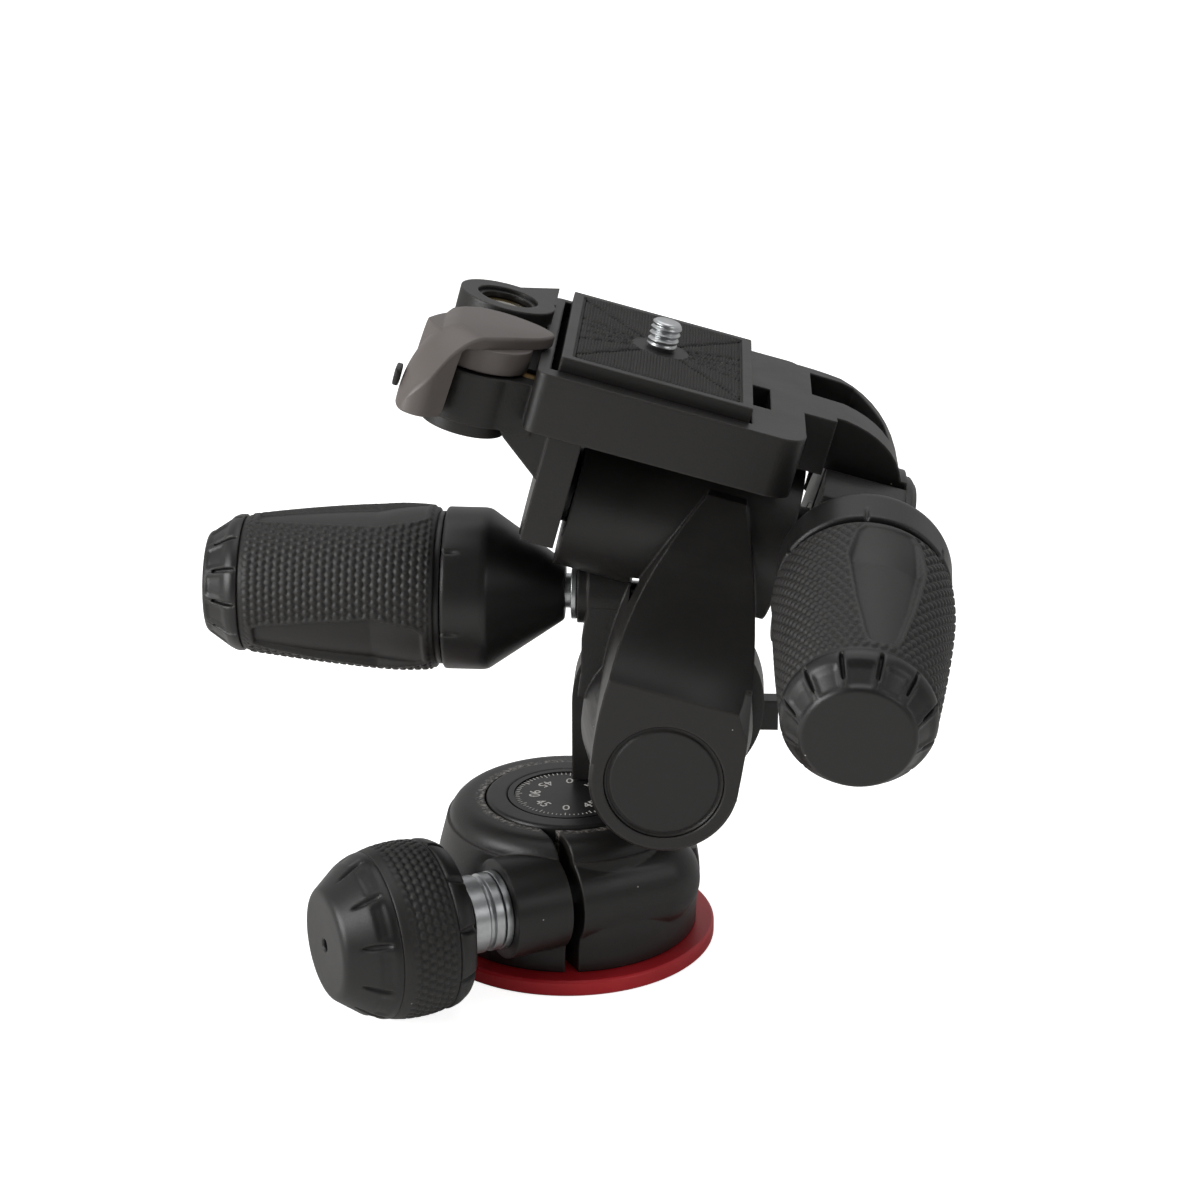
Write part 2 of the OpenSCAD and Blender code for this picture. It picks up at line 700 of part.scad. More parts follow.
module handle_end_cap() color(black) difference() {
    rotate_extrude() polygon([
        [0, grip_high], [grip_end_r, grip_high], [grip_end_r, grip_high + 1.4],
        [grip_end_r - 0.8, grip_high + 3], [face_r + 0.5, handle_h - 0.5], [face_r, handle_h], [0, handle_h]
    ]);
    edge_notches(grip_notches, grip_end_r - 0.9, 1.8, 1.7, grip_high + 1.6, handle_h + 1);
}

module lateral_screw() on_lateral_axis() on_lateral_screw() handle_screw(25);
module lateral_washer() on_lateral_axis() on_lateral_screw() handle_washer();
module lateral_cone() on_lateral_axis() on_lateral_screw() handle_cone();
module lateral_rod() on_lateral_axis() on_lateral_screw() handle_rod();
module lateral_grip_core() on_lateral_axis() on_lateral_screw() grip_core();
module lateral_grip_rubber() on_lateral_axis() on_lateral_screw() grip_rubber(0);
module lateral_end_cap() on_lateral_axis() on_lateral_screw() handle_end_cap();

module front_screw() on_platform() on_front_screw() handle_screw(26);
module front_washer() on_platform() on_front_screw() handle_washer();
module front_cone() on_platform() on_front_screw() handle_cone();
module front_rod() on_platform() on_front_screw() handle_rod();
module front_grip_core() on_platform() on_front_screw() grip_core();
module front_grip_rubber() on_platform() on_front_screw() grip_rubber(90);
module front_end_cap() on_platform() on_front_screw() handle_end_cap();

// ---- platform: hangs over the barrel on the front axle, and takes the camera plate ----

// Rounded rectangle with one radius per corner: front right, rear right, rear left, front left.
module plan(x0, y0, x1, y1, rfr, rrr, rrl, rfl) {
    polygon(concat(
        arc(x1 - rfr, y0 + rfr, rfr, -90, 0, 8), arc(x1 - rrr, y1 - rrr, rrr, 0, 90, 12),
        arc(x0 + rrl, y1 - rrl, rrl, 90, 180, 6), arc(x0 + rfl, y0 + rfl, rfl, 180, 270, 6)
    ));
}

module table() {
    translate([0, 0, table_low]) linear_extrude(table_t)
        plan(table_left, table_front, table_right, table_rear, 5.5, 3, 2, 2.6);
}

// The shell from the table's right side over the clamp hub, seen from the operator.
module shell_front() {
    polygon(concat(
        [[table_right - 8, table_top - 0.2]],
        bezier([[table_right - 2, table_top], [table_right + 12, table_top + 1.5],
                [clamp_right - 1.5, table_low + 10.3], [clamp_right, table_low - 2.7]], 14),
        [[clamp_right, barrel_z], [clamp_left, barrel_z], [clamp_left, table_low + 0.6],
         [table_right - 8, table_low + 0.6]]
    ));
}

// The same shell seen from the side, round over the axle.
module shell_side() {
    polygon(concat(
        [[-9.6, table_top], [-9.6, barrel_z]], [[21, barrel_z]],
        bezier([[21, barrel_z], [23, table_low - 3], [table_rear - 1, table_low], [table_rear - 1, table_top]], 8)
    ));
}

module shell_plan() {
    polygon(concat(
        [[table_right - 8, -9.6], [clamp_right, -9.6]],
        bezier([[clamp_right, 2], [clamp_right - 1, 16], [table_right + 12, table_rear - 1],
                [table_right, table_rear - 1]], 12),
        [[table_right - 8, table_rear - 1]]
    ));
}

// Room for the lateral handle's cone under the table, at the end of the tilt with the lens down.
module cone_room() {
    translate([0, 0, barrel_z]) rotate([tilt_down, 0, 0]) translate([0, 0, -barrel_z]) on_lateral_screw() {
        translate([0, 0, 3])
            cylinder(h = cone_h - 2.4, r1 = washer_r + 2 * pass_gap, r2 = cone_r + 2 * pass_gap);
        translate([0, 0, cone_h]) cylinder(h = collar_h + 1, r = collar_r + 2 * pass_gap);
    }
}

module clamp_hub() {
    difference() {
        translate([0, 0, barrel_z]) rod_x(clamp_left, clamp_right, clamp_r);
        // flat for the front handle's washer
        on_front_screw() translate([-40, -40, -0.1]) cube([80, 80, 40]);
    }
}

// The slot over the axle, that the front handle closes; w is its width.
module front_slot(w) {
    on_front_screw() translate([clamp_left - front_x - 1, -10, -lug_t - (slot_w + w) / 2])
        cube([clamp_right - clamp_left + 2, 22, w]);
}

// The left cheek: a slab at the barrel's end, square in front and round under the axle.
module cheek_side() {
    polygon(concat(
        [[cheek_front, table_low + 1], [cheek_front, barrel_z - 5.6]],
        arc(0, barrel_z, 13, 215, 360, 12),
        [[13, table_low + 1]]
    ));
}

module wing() {
    translate([0, 0, wing_low]) linear_extrude(wing_top - wing_low) union() {
        translate([pivot_x, pivot_y]) circle(r = wing_r);
        polygon([
            [pivot_x, pivot_y - wing_r + 1.4], [table_left + 2, pivot_y - wing_r + 3.4],
            [table_left + 2, table_rear - 8], [level_x, level_y + level_boss_r],
            [level_x - 7, level_y - 6.5], [pivot_x - 2, pivot_y + wing_r - 0.3]
        ]);
    }
    // boss of the level
    translate([level_x, level_y, wing_low]) cylinder(h = level_top - wing_low, r = level_boss_r);
    translate([0, 0, wing_low + 2]) linear_extrude(level_top - wing_low - 2) polygon([
        [level_x + 2, level_y - 2], [table_left + 0.6, level_y + 3], [table_left + 0.6, table_rear - 4],
        [level_x + 2, level_y + level_boss_r - 0.2]
    ]);
    // round foot of the pivot under the wing
    translate([pivot_x, pivot_y, wing_low - 3]) cylinder(h = 4, r = 8.6);
}

module platform() color(black) on_platform() difference() {
    union() {
        table();
        wing();
        along_x(cheek_out, cheek_in) cheek_side();
        // web between the wing and the cheek
        along_y(cheek_front + 1, cheek_front + 10) polygon([
            [cheek_out - 10, wing_low + 0.4], [cheek_out + 1, wing_low + 4], [cheek_out + 1, wing_low - 8.4],
            [cheek_out, wing_low - 8.4], [cheek_out - 8.6, wing_low - 1.6]
        ]);
        clamp_hub();
        difference() {
            intersection() {
                along_y(-9.6, table_rear - 1) shell_front();
                along_x(table_right - 8, clamp_right) shell_side();
                translate([0, 0, barrel_z]) linear_extrude(40) shell_plan();
            }
            // the shell ends behind the slot, so that the lug in front of it can bend
            on_front_screw() translate([clamp_left - front_x - 1, -40, -lug_t - slot_w]) cube([40, 80, 40]);
        }
    }
    // the plate's pocket, its clear way down for the screw's loop, and the stepped notch at the right
    translate([plate_left - 1.4, -plate_l / 2 - 1.5, pocket_low]) cube([plate_w + 1.9, plate_l + 1, 30]);
    translate([plate_right, -14, pocket_low + 1]) cube([4.6, 15, 30]);
    // the shell's pocket behind the rib
    intersection() {
        translate([0, 0, barrel_z]) translate([0, 4, 0]) linear_extrude(40) polygon([
            [table_right + 2, 2], [clamp_right - 5, 0], [clamp_right - 6, 8], [table_right + 12, 17.4],
            [table_right + 2, 18.6]
        ]);
        translate([0, 0, barrel_z]) rod_shell_void();
    }
    // both bores of the front axle, and the cap's seat at the right
    translate([0, 0, barrel_z]) rod_x(0, clamp_right - 1.2, bush_r);
    translate([0, 0, barrel_z]) rod_x(clamp_right - 1.5, clamp_right + 1, 15);
    translate([0, 0, barrel_z]) rod_x(cheek_out - 1, cheek_in + 1, bush_r);
    translate([0, 0, barrel_z]) rod_x(cheek_out - 1, cheek_out + 1.3, 11.1);
    // clamp slot over the axle
    front_slot(slot_w);
    on_front_screw() translate([0, 0, -40]) cylinder(h = 50, r = screw_r + 0.15);
    on_front_screw() translate([0, 0, -25.6]) cylinder(h = 5.2, r = nut_r + 0.1, $fn = 6);
    // level, lever pin, cam and tongue
    translate([level_x, level_y, level_top - 5]) cylinder(h = 6, r = vial_r + 0.1);
    translate([pivot_x, pivot_y, wing_low - 4]) cylinder(h = 30, r = pin_r);
    translate([pivot_x, pivot_y, cam_low - 0.3]) cylinder(h = 20, r = cam_r + cam_offset + 0.4);
    translate([pivot_x, pivot_y - 3.2, cam_low - 0.2]) cube([plate_left - pivot_x, 6.4, cam_high - cam_low + 0.6]);
    cone_room();
}

// The shell's pocket stays over this depth, so that its floor is round like the hub.
module rod_shell_void() {
    difference() {
        rod_x(0, 60, 40);
        rod_x(-1, 61, clamp_r - 3);
    }
}

module front_bush() color([0.80, 0.74, 0.60]) on_platform() difference() {
    translate([0, 0, barrel_z]) rod_x(clamp_left + 0.1, clamp_right - 1.5, bush_r);
    translate([0, 0, barrel_z]) rod_x(0, 60, axle_r + run_gap);
    front_slot(slot_w - 1.6);
}

module cheek_bush() color([0.80, 0.74, 0.60]) on_platform() translate([0, 0, barrel_z]) difference() {
    rod_x(cheek_out + 1.4, cheek_in - 0.1, bush_r);
    rod_x(-70, 0, axle_r + run_gap);
}

// The cap is cut flush with the hub's flat, under the front handle's washer.
module axle_cap() color(black) on_platform() difference() {
    translate([0, 0, barrel_z]) rotate([0, 90, 0]) rotate_extrude() polygon([
        [0, clamp_right - 0.4], [14.9, clamp_right - 0.4], [14.9, clamp_right + 0.1],
        [clamp_r - 1.2, clamp_right + 0.1], [clamp_r - 1.2, clamp_right + 1.6], [clamp_r - 2.6, clamp_right + 3],
        [0, clamp_right + 3]
    ]);
    on_front_screw() translate([-40, -40, -0.2]) cube([80, 80, 40]);
}

module cheek_cap() color(black) on_platform() translate([0, 0, barrel_z])
    rod_x(cheek_out, cheek_out + 1.2, 11);

module front_nut() color(zinc) on_platform() on_front_screw() translate([0, 0, -25.4]) difference() {
    cylinder(h = 4.8, r = nut_r, $fn = 6);
    translate([0, 0, -1]) cylinder(h = 8, r = screw_r + run_gap);
}

module level_vial() color([0.76, 0.80, 0.28, 0.8]) on_platform()
    translate([level_x, level_y, level_top - 5]) intersection() {
        cylinder(h = 3.6, r = vial_r);
        translate([0, 0, -14]) sphere(r = 17.6);
    }

module level_ring() color(black) on_platform()
    translate([level_x, level_y, level_top - 2.1]) ring(1.3, vial_r + 0.1, vial_r - 1);

// ---- camera plate ----

module plate_body() color(black) on_platform() difference() {
    union() {
        translate([plate_left, -plate_l / 2 - 1, table_top - 1]) cube([plate_w, plate_l, plate_rise + 0.4]);
        translate([plate_left, -plate_l / 2 - 1, 0])
            along_y(0, plate_l - 0.6) polygon([
                [0.8, table_top - 0.8], [-1, pocket_low + 2.2], [-1, pocket_low + 0.2],
                [plate_w, pocket_low + 0.2], [plate_w, pocket_low + 2.2], [plate_w - 1.8, table_top - 0.8]
            ]);
    }
    translate([plate_left + pad_inset, -plate_l / 2 - 1 + pad_inset, plate_top - pad_t - 0.2])
        cube([plate_w - 2 * pad_inset, plate_l - 2 * pad_inset, 9]);
    translate([plate_x, -1, 0]) cylinder(h = big, r = camera_screw_r + 0.2);
    translate([plate_x, -1, pocket_low - 1]) cylinder(h = 5.6, r = 11);
}

module plate_pad() color(rubber_black) on_platform() difference() {
    translate([plate_left + pad_inset, -plate_l / 2 - 1 + pad_inset, plate_top - pad_t - 0.2])
        cube([plate_w - 2 * pad_inset, plate_l - 2 * pad_inset, pad_t]);
    translate([plate_x, -1, 0]) cylinder(h = big, r = camera_screw_r + 0.6);
}

// A thinner neck through the plate keeps the screw from falling out.
module camera_screw() color(zinc) on_platform() translate([plate_x, -1, 0]) difference() {
    union() {
        translate([0, 0, pocket_low + 3]) cylinder(h = 1.5, r = 10.6);
        translate([0, 0, pocket_low + 3.5])
            cylinder(h = plate_top - pocket_low - 3.3, r = camera_screw_r - 0.35);
        translate([0, 0, plate_top + 0.1]) cylinder(h = camera_screw_h - 1, r = camera_screw_r);
        translate([0, 0, plate_top + camera_screw_h - 0.9])
            cylinder(h = 0.6, r1 = camera_screw_r, r2 = camera_screw_r - 0.6);
    }
    translate([-12, -0.7, pocket_low + 2]) cube([24, 1.4, 1.6]);
}

// The wire loop folds flat under the screw's head.
module screw_loop() color(zinc) on_platform() translate([plate_x, -1, pocket_low + 1.8])
    rotate([0, 0, 90]) intersection() {
        rotate_extrude() translate([8.6, 0]) circle(r = 0.9, $fn = 24);
        translate([-20, -0.6, -5]) cube([40, 20, 10]);
    }

// ---- plate lock ----

module lever_pin() color(zinc) on_platform()
    translate([pivot_x, pivot_y, wing_low - 3.6]) cylinder(h = lever_top - 1.7 - wing_low + 3.6, r = pin_r);

// The lever's outline from above, about its pivot: a tip by the plate and a thumb lobe at the left.
module lever_lobe() {
    polygon(concat(
        bezier([[13, 4.2], [14.2, 6.7], [12.7, 9.2], [9.9, 9.8]], 8),
        bezier([[4.3, 13], [-2.7, 13.8], [-7.2, 5], [-9.7, -3]], 10),
        bezier([[-11.3, -8], [-12.3, -12], [-11.7, -15], [-8.1, -15]], 6),
        bezier([[-3.7, -14.2], [2.3, -11], [6.3, -4.4], [10.3, -0.4]], 8)
    ));
}

// The outer edge of the thumb pad and of the catch on it, about the pivot.
pad_edge = bezier([[-11.6, 0.5], [-13.2, -3.5], [-14.1, -9], [-13.3, -15.4]], 8);

// The thumb pad hangs outside the wing, clear of it all through the swing.
module thumb_pad() {
    difference() {
        translate([0, 0, pad_low]) linear_extrude(lever_top - pad_low) polygon(concat(
            pad_edge, bezier([[-7.7, -18], [-5.1, -17], [-4.3, -15], [-5.1, -11]], 4), [[-4, -6]]
        ));
        translate([0, 0, pad_low - 1]) cylinder(h = lever_low - pad_low + 1, r = wing_r + 1.4);
    }
}

module lever() color([0.47, 0.44, 0.44]) on_platform() translate([pivot_x, pivot_y, 0]) difference() {
    union() {
        translate([0, 0, lever_mid]) linear_extrude(lever_top - lever_mid) lever_lobe();
        translate([0, 0, lever_low]) cylinder(h = lever_mid - lever_low + 0.2, r = wing_r - 1);
        thumb_pad();
    }
    cylinder(h = lever_top - 1.4, r = pin_r + run_gap);
}

// An eccentric under the lever pushes the tongue against the plate.
module lever_cam() color([0.80, 0.66, 0.36]) on_platform() translate([pivot_x, pivot_y, cam_low]) difference() {
    union() {
        rotate([0, 0, -45]) translate([cam_offset, 0, 0]) cylinder(h = cam_high - cam_low, r = cam_r);
        cylinder(h = lever_low - cam_low - 0.05, r = 4);
    }
    translate([0, 0, -1]) cylinder(h = 20, r = pin_r + run_gap);
}

// The tongue's flat end rides on the eccentric.
module lock_tongue() color([0.80, 0.66, 0.36]) on_platform()
    translate([tongue_left, pivot_y - 3, cam_low + 0.1])
        cube([plate_left - 1.1 - tongue_left, 6, cam_high - cam_low - 0.4]);

// The catch lies along the outside of the thumb pad and is pressed down to free the lever.
module safety_catch() color(black) on_platform() translate([pivot_x, pivot_y, catch_low])
    linear_extrude(catch_top - catch_low) polygon(concat(
        [for (i = [2 : 8]) pad_edge[i] + [-0.3, 0]],
        [for (i = [8 : -1 : 2]) pad_edge[i] + [-1.5, 0.5]]
    ));

base_plate();
base_screws();
thread_bush();
pan_spindle();
keeper_ring();
pan_dial();
pan_housing();
pan_liner();
pan_nut();
lateral_axle();
axle_nut();
ear_cap();
friction_washer();
pan_screw();
pan_cup();
pan_washer();
pan_knob_core();
pan_knob_rubber();
pan_knob_cap();
tilt_arm();
lateral_bush();
axle_screw();
pivot_cap();
lateral_nut();
front_axle();
lateral_screw();
lateral_washer();
lateral_cone();
lateral_rod();
lateral_grip_core();
lateral_grip_rubber();
lateral_end_cap();
platform();
front_bush();
cheek_bush();
axle_cap();
cheek_cap();
front_nut();
level_vial();
level_ring();
plate_body();
plate_pad();
lever_pin();
front_screw();
front_washer();
front_cone();
front_rod();
front_grip_core();
front_grip_rubber();
front_end_cap();
lever();
lever_cam();
lock_tongue();
safety_catch();
camera_screw();
screw_loop();
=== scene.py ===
import json
import math

import bmesh
import bpy
import numpy as np
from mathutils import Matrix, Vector

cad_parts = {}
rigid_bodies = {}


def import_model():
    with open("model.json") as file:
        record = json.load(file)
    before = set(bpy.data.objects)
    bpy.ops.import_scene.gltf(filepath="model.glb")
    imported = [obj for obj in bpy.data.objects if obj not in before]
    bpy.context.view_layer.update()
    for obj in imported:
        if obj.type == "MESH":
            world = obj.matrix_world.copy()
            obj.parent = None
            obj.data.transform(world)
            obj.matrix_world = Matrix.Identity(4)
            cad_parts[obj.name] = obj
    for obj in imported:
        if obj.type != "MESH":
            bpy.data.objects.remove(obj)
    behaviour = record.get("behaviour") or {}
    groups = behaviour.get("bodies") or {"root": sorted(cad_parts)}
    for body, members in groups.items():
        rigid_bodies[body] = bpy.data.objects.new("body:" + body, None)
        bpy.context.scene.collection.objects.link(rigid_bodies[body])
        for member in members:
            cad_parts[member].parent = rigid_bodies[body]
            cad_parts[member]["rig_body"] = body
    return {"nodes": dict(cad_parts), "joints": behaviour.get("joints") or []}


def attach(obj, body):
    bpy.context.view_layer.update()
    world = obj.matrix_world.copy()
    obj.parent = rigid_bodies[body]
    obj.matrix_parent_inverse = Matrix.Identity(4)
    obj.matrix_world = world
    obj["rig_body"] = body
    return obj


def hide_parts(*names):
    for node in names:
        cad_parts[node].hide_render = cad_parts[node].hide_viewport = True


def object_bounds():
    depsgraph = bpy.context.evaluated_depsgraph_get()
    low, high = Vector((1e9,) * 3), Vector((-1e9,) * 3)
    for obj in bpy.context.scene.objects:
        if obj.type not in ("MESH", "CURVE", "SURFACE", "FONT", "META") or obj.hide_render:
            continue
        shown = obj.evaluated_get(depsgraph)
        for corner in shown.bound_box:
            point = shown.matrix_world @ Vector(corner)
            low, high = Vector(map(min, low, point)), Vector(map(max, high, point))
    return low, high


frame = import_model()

# ---- Floor, camera and lamps ----
# A white studio table lit by a broad softbox above and a stronger one at the left. The camera stands on the
# operator's side and looks down at the head through a long lens, as a catalogue picture is taken.
cad_low, cad_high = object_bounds()
MM = 0.001
EYE = (0.03106, -0.57497, 0.2875)
EYE_PITCH = 20.06
EYE_YAW = 2.4
LENS_MM = 87
SENSOR_MM = 36
LOOK_AT = Vector((0.02, 0, 0.07))
FLOOR_SIZE = 8
FLOOR_GAP_MM = 0.05
FLOOR_GLOW = 0.86
ROOM_LIGHT = 0.24
GLOSS_FRONT = 0.05
GLOSS_BACK = 0.55
# Each lamp's name, place and width in metres, and power in watts.
LAMPS = [
    ("softbox_over", (0.05, 0.10, 0.95), 0.9, 3.0),
    ("softbox_left", (-0.80, -0.45, 0.42), 0.5, 7.5),
    ("softbox_right", (0.80, -0.55, 0.55), 0.4, 1.2),
]


def add(tree, kind, inputs=None, **settings):
    """Adds one node of a material. An input that is a socket is linked, and any other is a value."""
    node = tree.nodes.new("ShaderNode" + kind)
    for name, value in settings.items():
        setattr(node, name, value)
    for name, value in (inputs or {}).items():
        if isinstance(value, bpy.types.NodeSocket):
            tree.links.new(value, node.inputs[name])
        else:
            node.inputs[name].default_value = value
    return node


def colour(code):
    """An sRGB hex colour as the linear colour that shaders take."""
    parts = np.array([int(code[i : i + 2], 16) for i in (0, 2, 4)]) / 255
    linear = np.where(parts <= 0.04045, parts / 12.92, ((parts + 0.055) / 1.055) ** 2.4)
    return (*linear.tolist(), 1)


def new_object(name, data):
    """An object of a mesh, a curve, a camera or a lamp, linked to the scene."""
    made = bpy.data.objects.new(name, data)
    bpy.context.scene.collection.objects.link(made)
    return made


def make_camera():
    """Stands at the place that the photo's perspective gives, and looks down at the head."""
    camera = new_object("camera", bpy.data.cameras.new("camera"))
    camera.data.lens = LENS_MM
    camera.data.sensor_width = SENSOR_MM
    camera.location = EYE
    camera.rotation_euler = (math.radians(90 - EYE_PITCH), 0, math.radians(EYE_YAW))
    bpy.context.scene.camera = camera


def make_lamps():
    """Square area lamps, all turned to the middle of the head."""
    for name, place, size, power in LAMPS:
        lamp = new_object(name, bpy.data.lights.new(name, "AREA"))
        lamp.data.size = size
        lamp.data.energy = power
        lamp.location = place
        lamp.rotation_euler = (LOOK_AT - Vector(place)).to_track_quat("-Z", "Y").to_euler()


def make_world():
    """White past the object, and in gloss a white room that is dim on the camera's side."""
    world = bpy.data.worlds.new("studio")
    world.use_nodes = True
    bpy.context.scene.world = world
    tree = world.node_tree
    tree.nodes.clear()
    way = add(tree, "SeparateXYZ", {0: add(tree, "TexCoord").outputs["Generated"]})
    back = add(tree, "MapRange", {"Value": way.outputs["Y"], "From Min": -0.5, "From Max": 0.3,
                                  "To Min": GLOSS_FRONT, "To Max": GLOSS_BACK})
    path = add(tree, "LightPath")
    gloss = add(tree, "Mix", {0: path.outputs["Is Glossy Ray"], 2: ROOM_LIGHT, 3: back.outputs["Result"]})
    seen = add(tree, "Math", {0: path.outputs["Is Camera Ray"], 1: path.outputs["Is Transmission Ray"]},
               operation="MAXIMUM")
    strength = add(tree, "Mix", {0: seen.outputs[0], 2: gloss.outputs[0], 3: 1.0})
    light = add(tree, "Background", {"Color": (1, 1, 1, 1), "Strength": strength.outputs[0]})
    add(tree, "OutputWorld", {"Surface": light.outputs[0]})


def make_floor():
    """Matt white; the camera also sees a little glow in it, which turns it white and leaves the shadow."""
    half = FLOOR_SIZE / 2
    mesh = bpy.data.meshes.new("floor")
    corners = [(-half, -half, 0), (half, -half, 0), (half, half, 0), (-half, half, 0)]
    mesh.from_pydata(corners, [], [(0, 1, 2, 3)])
    floor = new_object("floor", mesh)
    floor.location.z = cad_low.z - FLOOR_GAP_MM * MM
    paper = bpy.data.materials.new("white_paper")
    paper.use_nodes = True
    tree = paper.node_tree
    tree.nodes.clear()
    matt = add(tree, "BsdfDiffuse", {"Color": colour("f2f1ef")})
    path = add(tree, "LightPath")
    seen = add(tree, "Math", {0: path.outputs["Is Camera Ray"], 1: FLOOR_GLOW}, operation="MULTIPLY")
    glow = add(tree, "Emission", {"Color": (1, 1, 1, 1), "Strength": seen.outputs[0]})
    both = add(tree, "AddShader", {0: matt.outputs[0], 1: glow.outputs[0]})
    add(tree, "OutputMaterial", {"Surface": both.outputs[0]})
    mesh.materials.append(paper)


bpy.context.scene.view_settings.view_transform = "Standard"
make_camera()
make_lamps()
make_world()
make_floor()

# ---- Base disc, spindle and dial: what stays on the tripod ----
# The disc is red anodised aluminium, turned and chamfered, and screwed to the spindle's foot from below.
# Spindle and dial are finished black. The dial is printed, and lies in the ring that keeps the housing down.
TURNING_MM = 0.35
DIAL_TICKS = 72
TICK_LONG_EVERY = 6
TICK_WIDTH = 0.2
TICK_SHORT = 0.9
TICK_LONG = 1.5
TICK_INSET = 0.15
PRINT_LIFT = 0.03
DIGIT_HEIGHT = 2.5
FONT_PER_DIGIT = 1.4
DIGIT_RING = 7.3
DIAL_NUMBERS = ["0", "45", "90", "45"] * 2
THREAD_PITCH_LARGE = 1.5875
THREAD_DEPTH_LARGE = 0.75
THREAD_STEEP = 1.15
THREAD_ROOT = 0.08
BUSH_BORE_R = 4.8
BUSH_TUBE_R = 7.2
BUSH_FLANGE = (3.7, 5.1)
BUSH_ROOF = 1.5
BORE_STEP = 0.13
BORE_RUN_IN = 0.2
BORE_RUN_OUT = 0.4
EDGE_DISC = 0.18
EDGE_SCREW = 0.1
EDGE_STEEL = 0.15
EDGE_MOULDED = 0.3
EASED_ABOVE_DEG = 28
# A painted highlight along edges: its pale tone, the width of the edge rounding it follows, and where it
# starts and is full.
EDGE_HIGHLIGHT_TONE = "4e4a47"
EDGE_ROUNDING_AND_HIGHLIGHT_ACROSS = 0.7
EDGE_HIGHLIGHT_FROM = 0.995
EDGE_HIGHLIGHT_FULL = 0.86
DUST_TONE = "a9a39c"
DUST_SPACING = 3.2
DUST_SIZE = 0.05
LINT_SIZE = 0.9
LINT_FROM = 0.46
LINT_FULL = 0.62
RING_WIDTH = 1.6
CORNER_SHARE = 0.45
NEAR = 0.06


def new_material(name):
    """A node material with nothing in it but its shader: material, tree, shader and object coordinates."""
    made = bpy.data.materials.new(name)
    made.use_nodes = True
    tree = made.node_tree
    tree.nodes.clear()
    shader = add(tree, "BsdfPrincipled")
    add(tree, "OutputMaterial", {"Surface": shader.outputs[0]})
    return made, tree, shader, add(tree, "TexCoord").outputs["Object"]


def give(tree, shader, **inputs):
    """Sets inputs of the shader, with underscores for spaces: a socket is linked, any other is a value."""
    for name, value in inputs.items():
        socket = shader.inputs[name.replace("_", " ")]
        if isinstance(value, bpy.types.NodeSocket):
            tree.links.new(value, socket)
        else:
            socket.default_value = value


def about_axis(tree, where):
    """Distance of a point from the object's z axis, and its height along it: two sockets."""
    part = add(tree, "SeparateXYZ", {0: where})
    flat = add(tree, "CombineXYZ", {0: part.outputs[0], 1: part.outputs[1]})
    distance = add(tree, "VectorMath", {0: flat.outputs[0]}, operation="LENGTH")
    return distance.outputs["Value"], part.outputs[2]


def red_anodised():
    """Dyed anodised aluminium: a clear hard layer over turned metal, deep red with a soft wide sheen."""
    made, tree, shader, where = new_material("red_anodised")
    distance, _ = about_axis(tree, where)
    rings = add(tree, "TexNoise", {"W": distance, "Scale": 1 / (TURNING_MM * MM), "Detail": 2},
                noise_dimensions="1D")
    cloud = add(tree, "TexNoise", {"Vector": where, "Scale": 90, "Detail": 3})
    tone = add(tree, "Mix", {0: cloud.outputs["Fac"], 6: colour("b81a24"), 7: colour("cb2b33")},
               data_type="RGBA")
    rough = add(tree, "MapRange", {"Value": cloud.outputs["Fac"], "To Min": 0.30, "To Max": 0.44})
    bump = add(tree, "Bump", {"Height": rings.outputs["Fac"], "Strength": 0.10, "Distance": 0.03 * MM})
    give(tree, shader, Base_Color=tone.outputs[2], Metallic=0.15, Roughness=rough.outputs[0],
         Normal=bump.outputs[0])
    return made


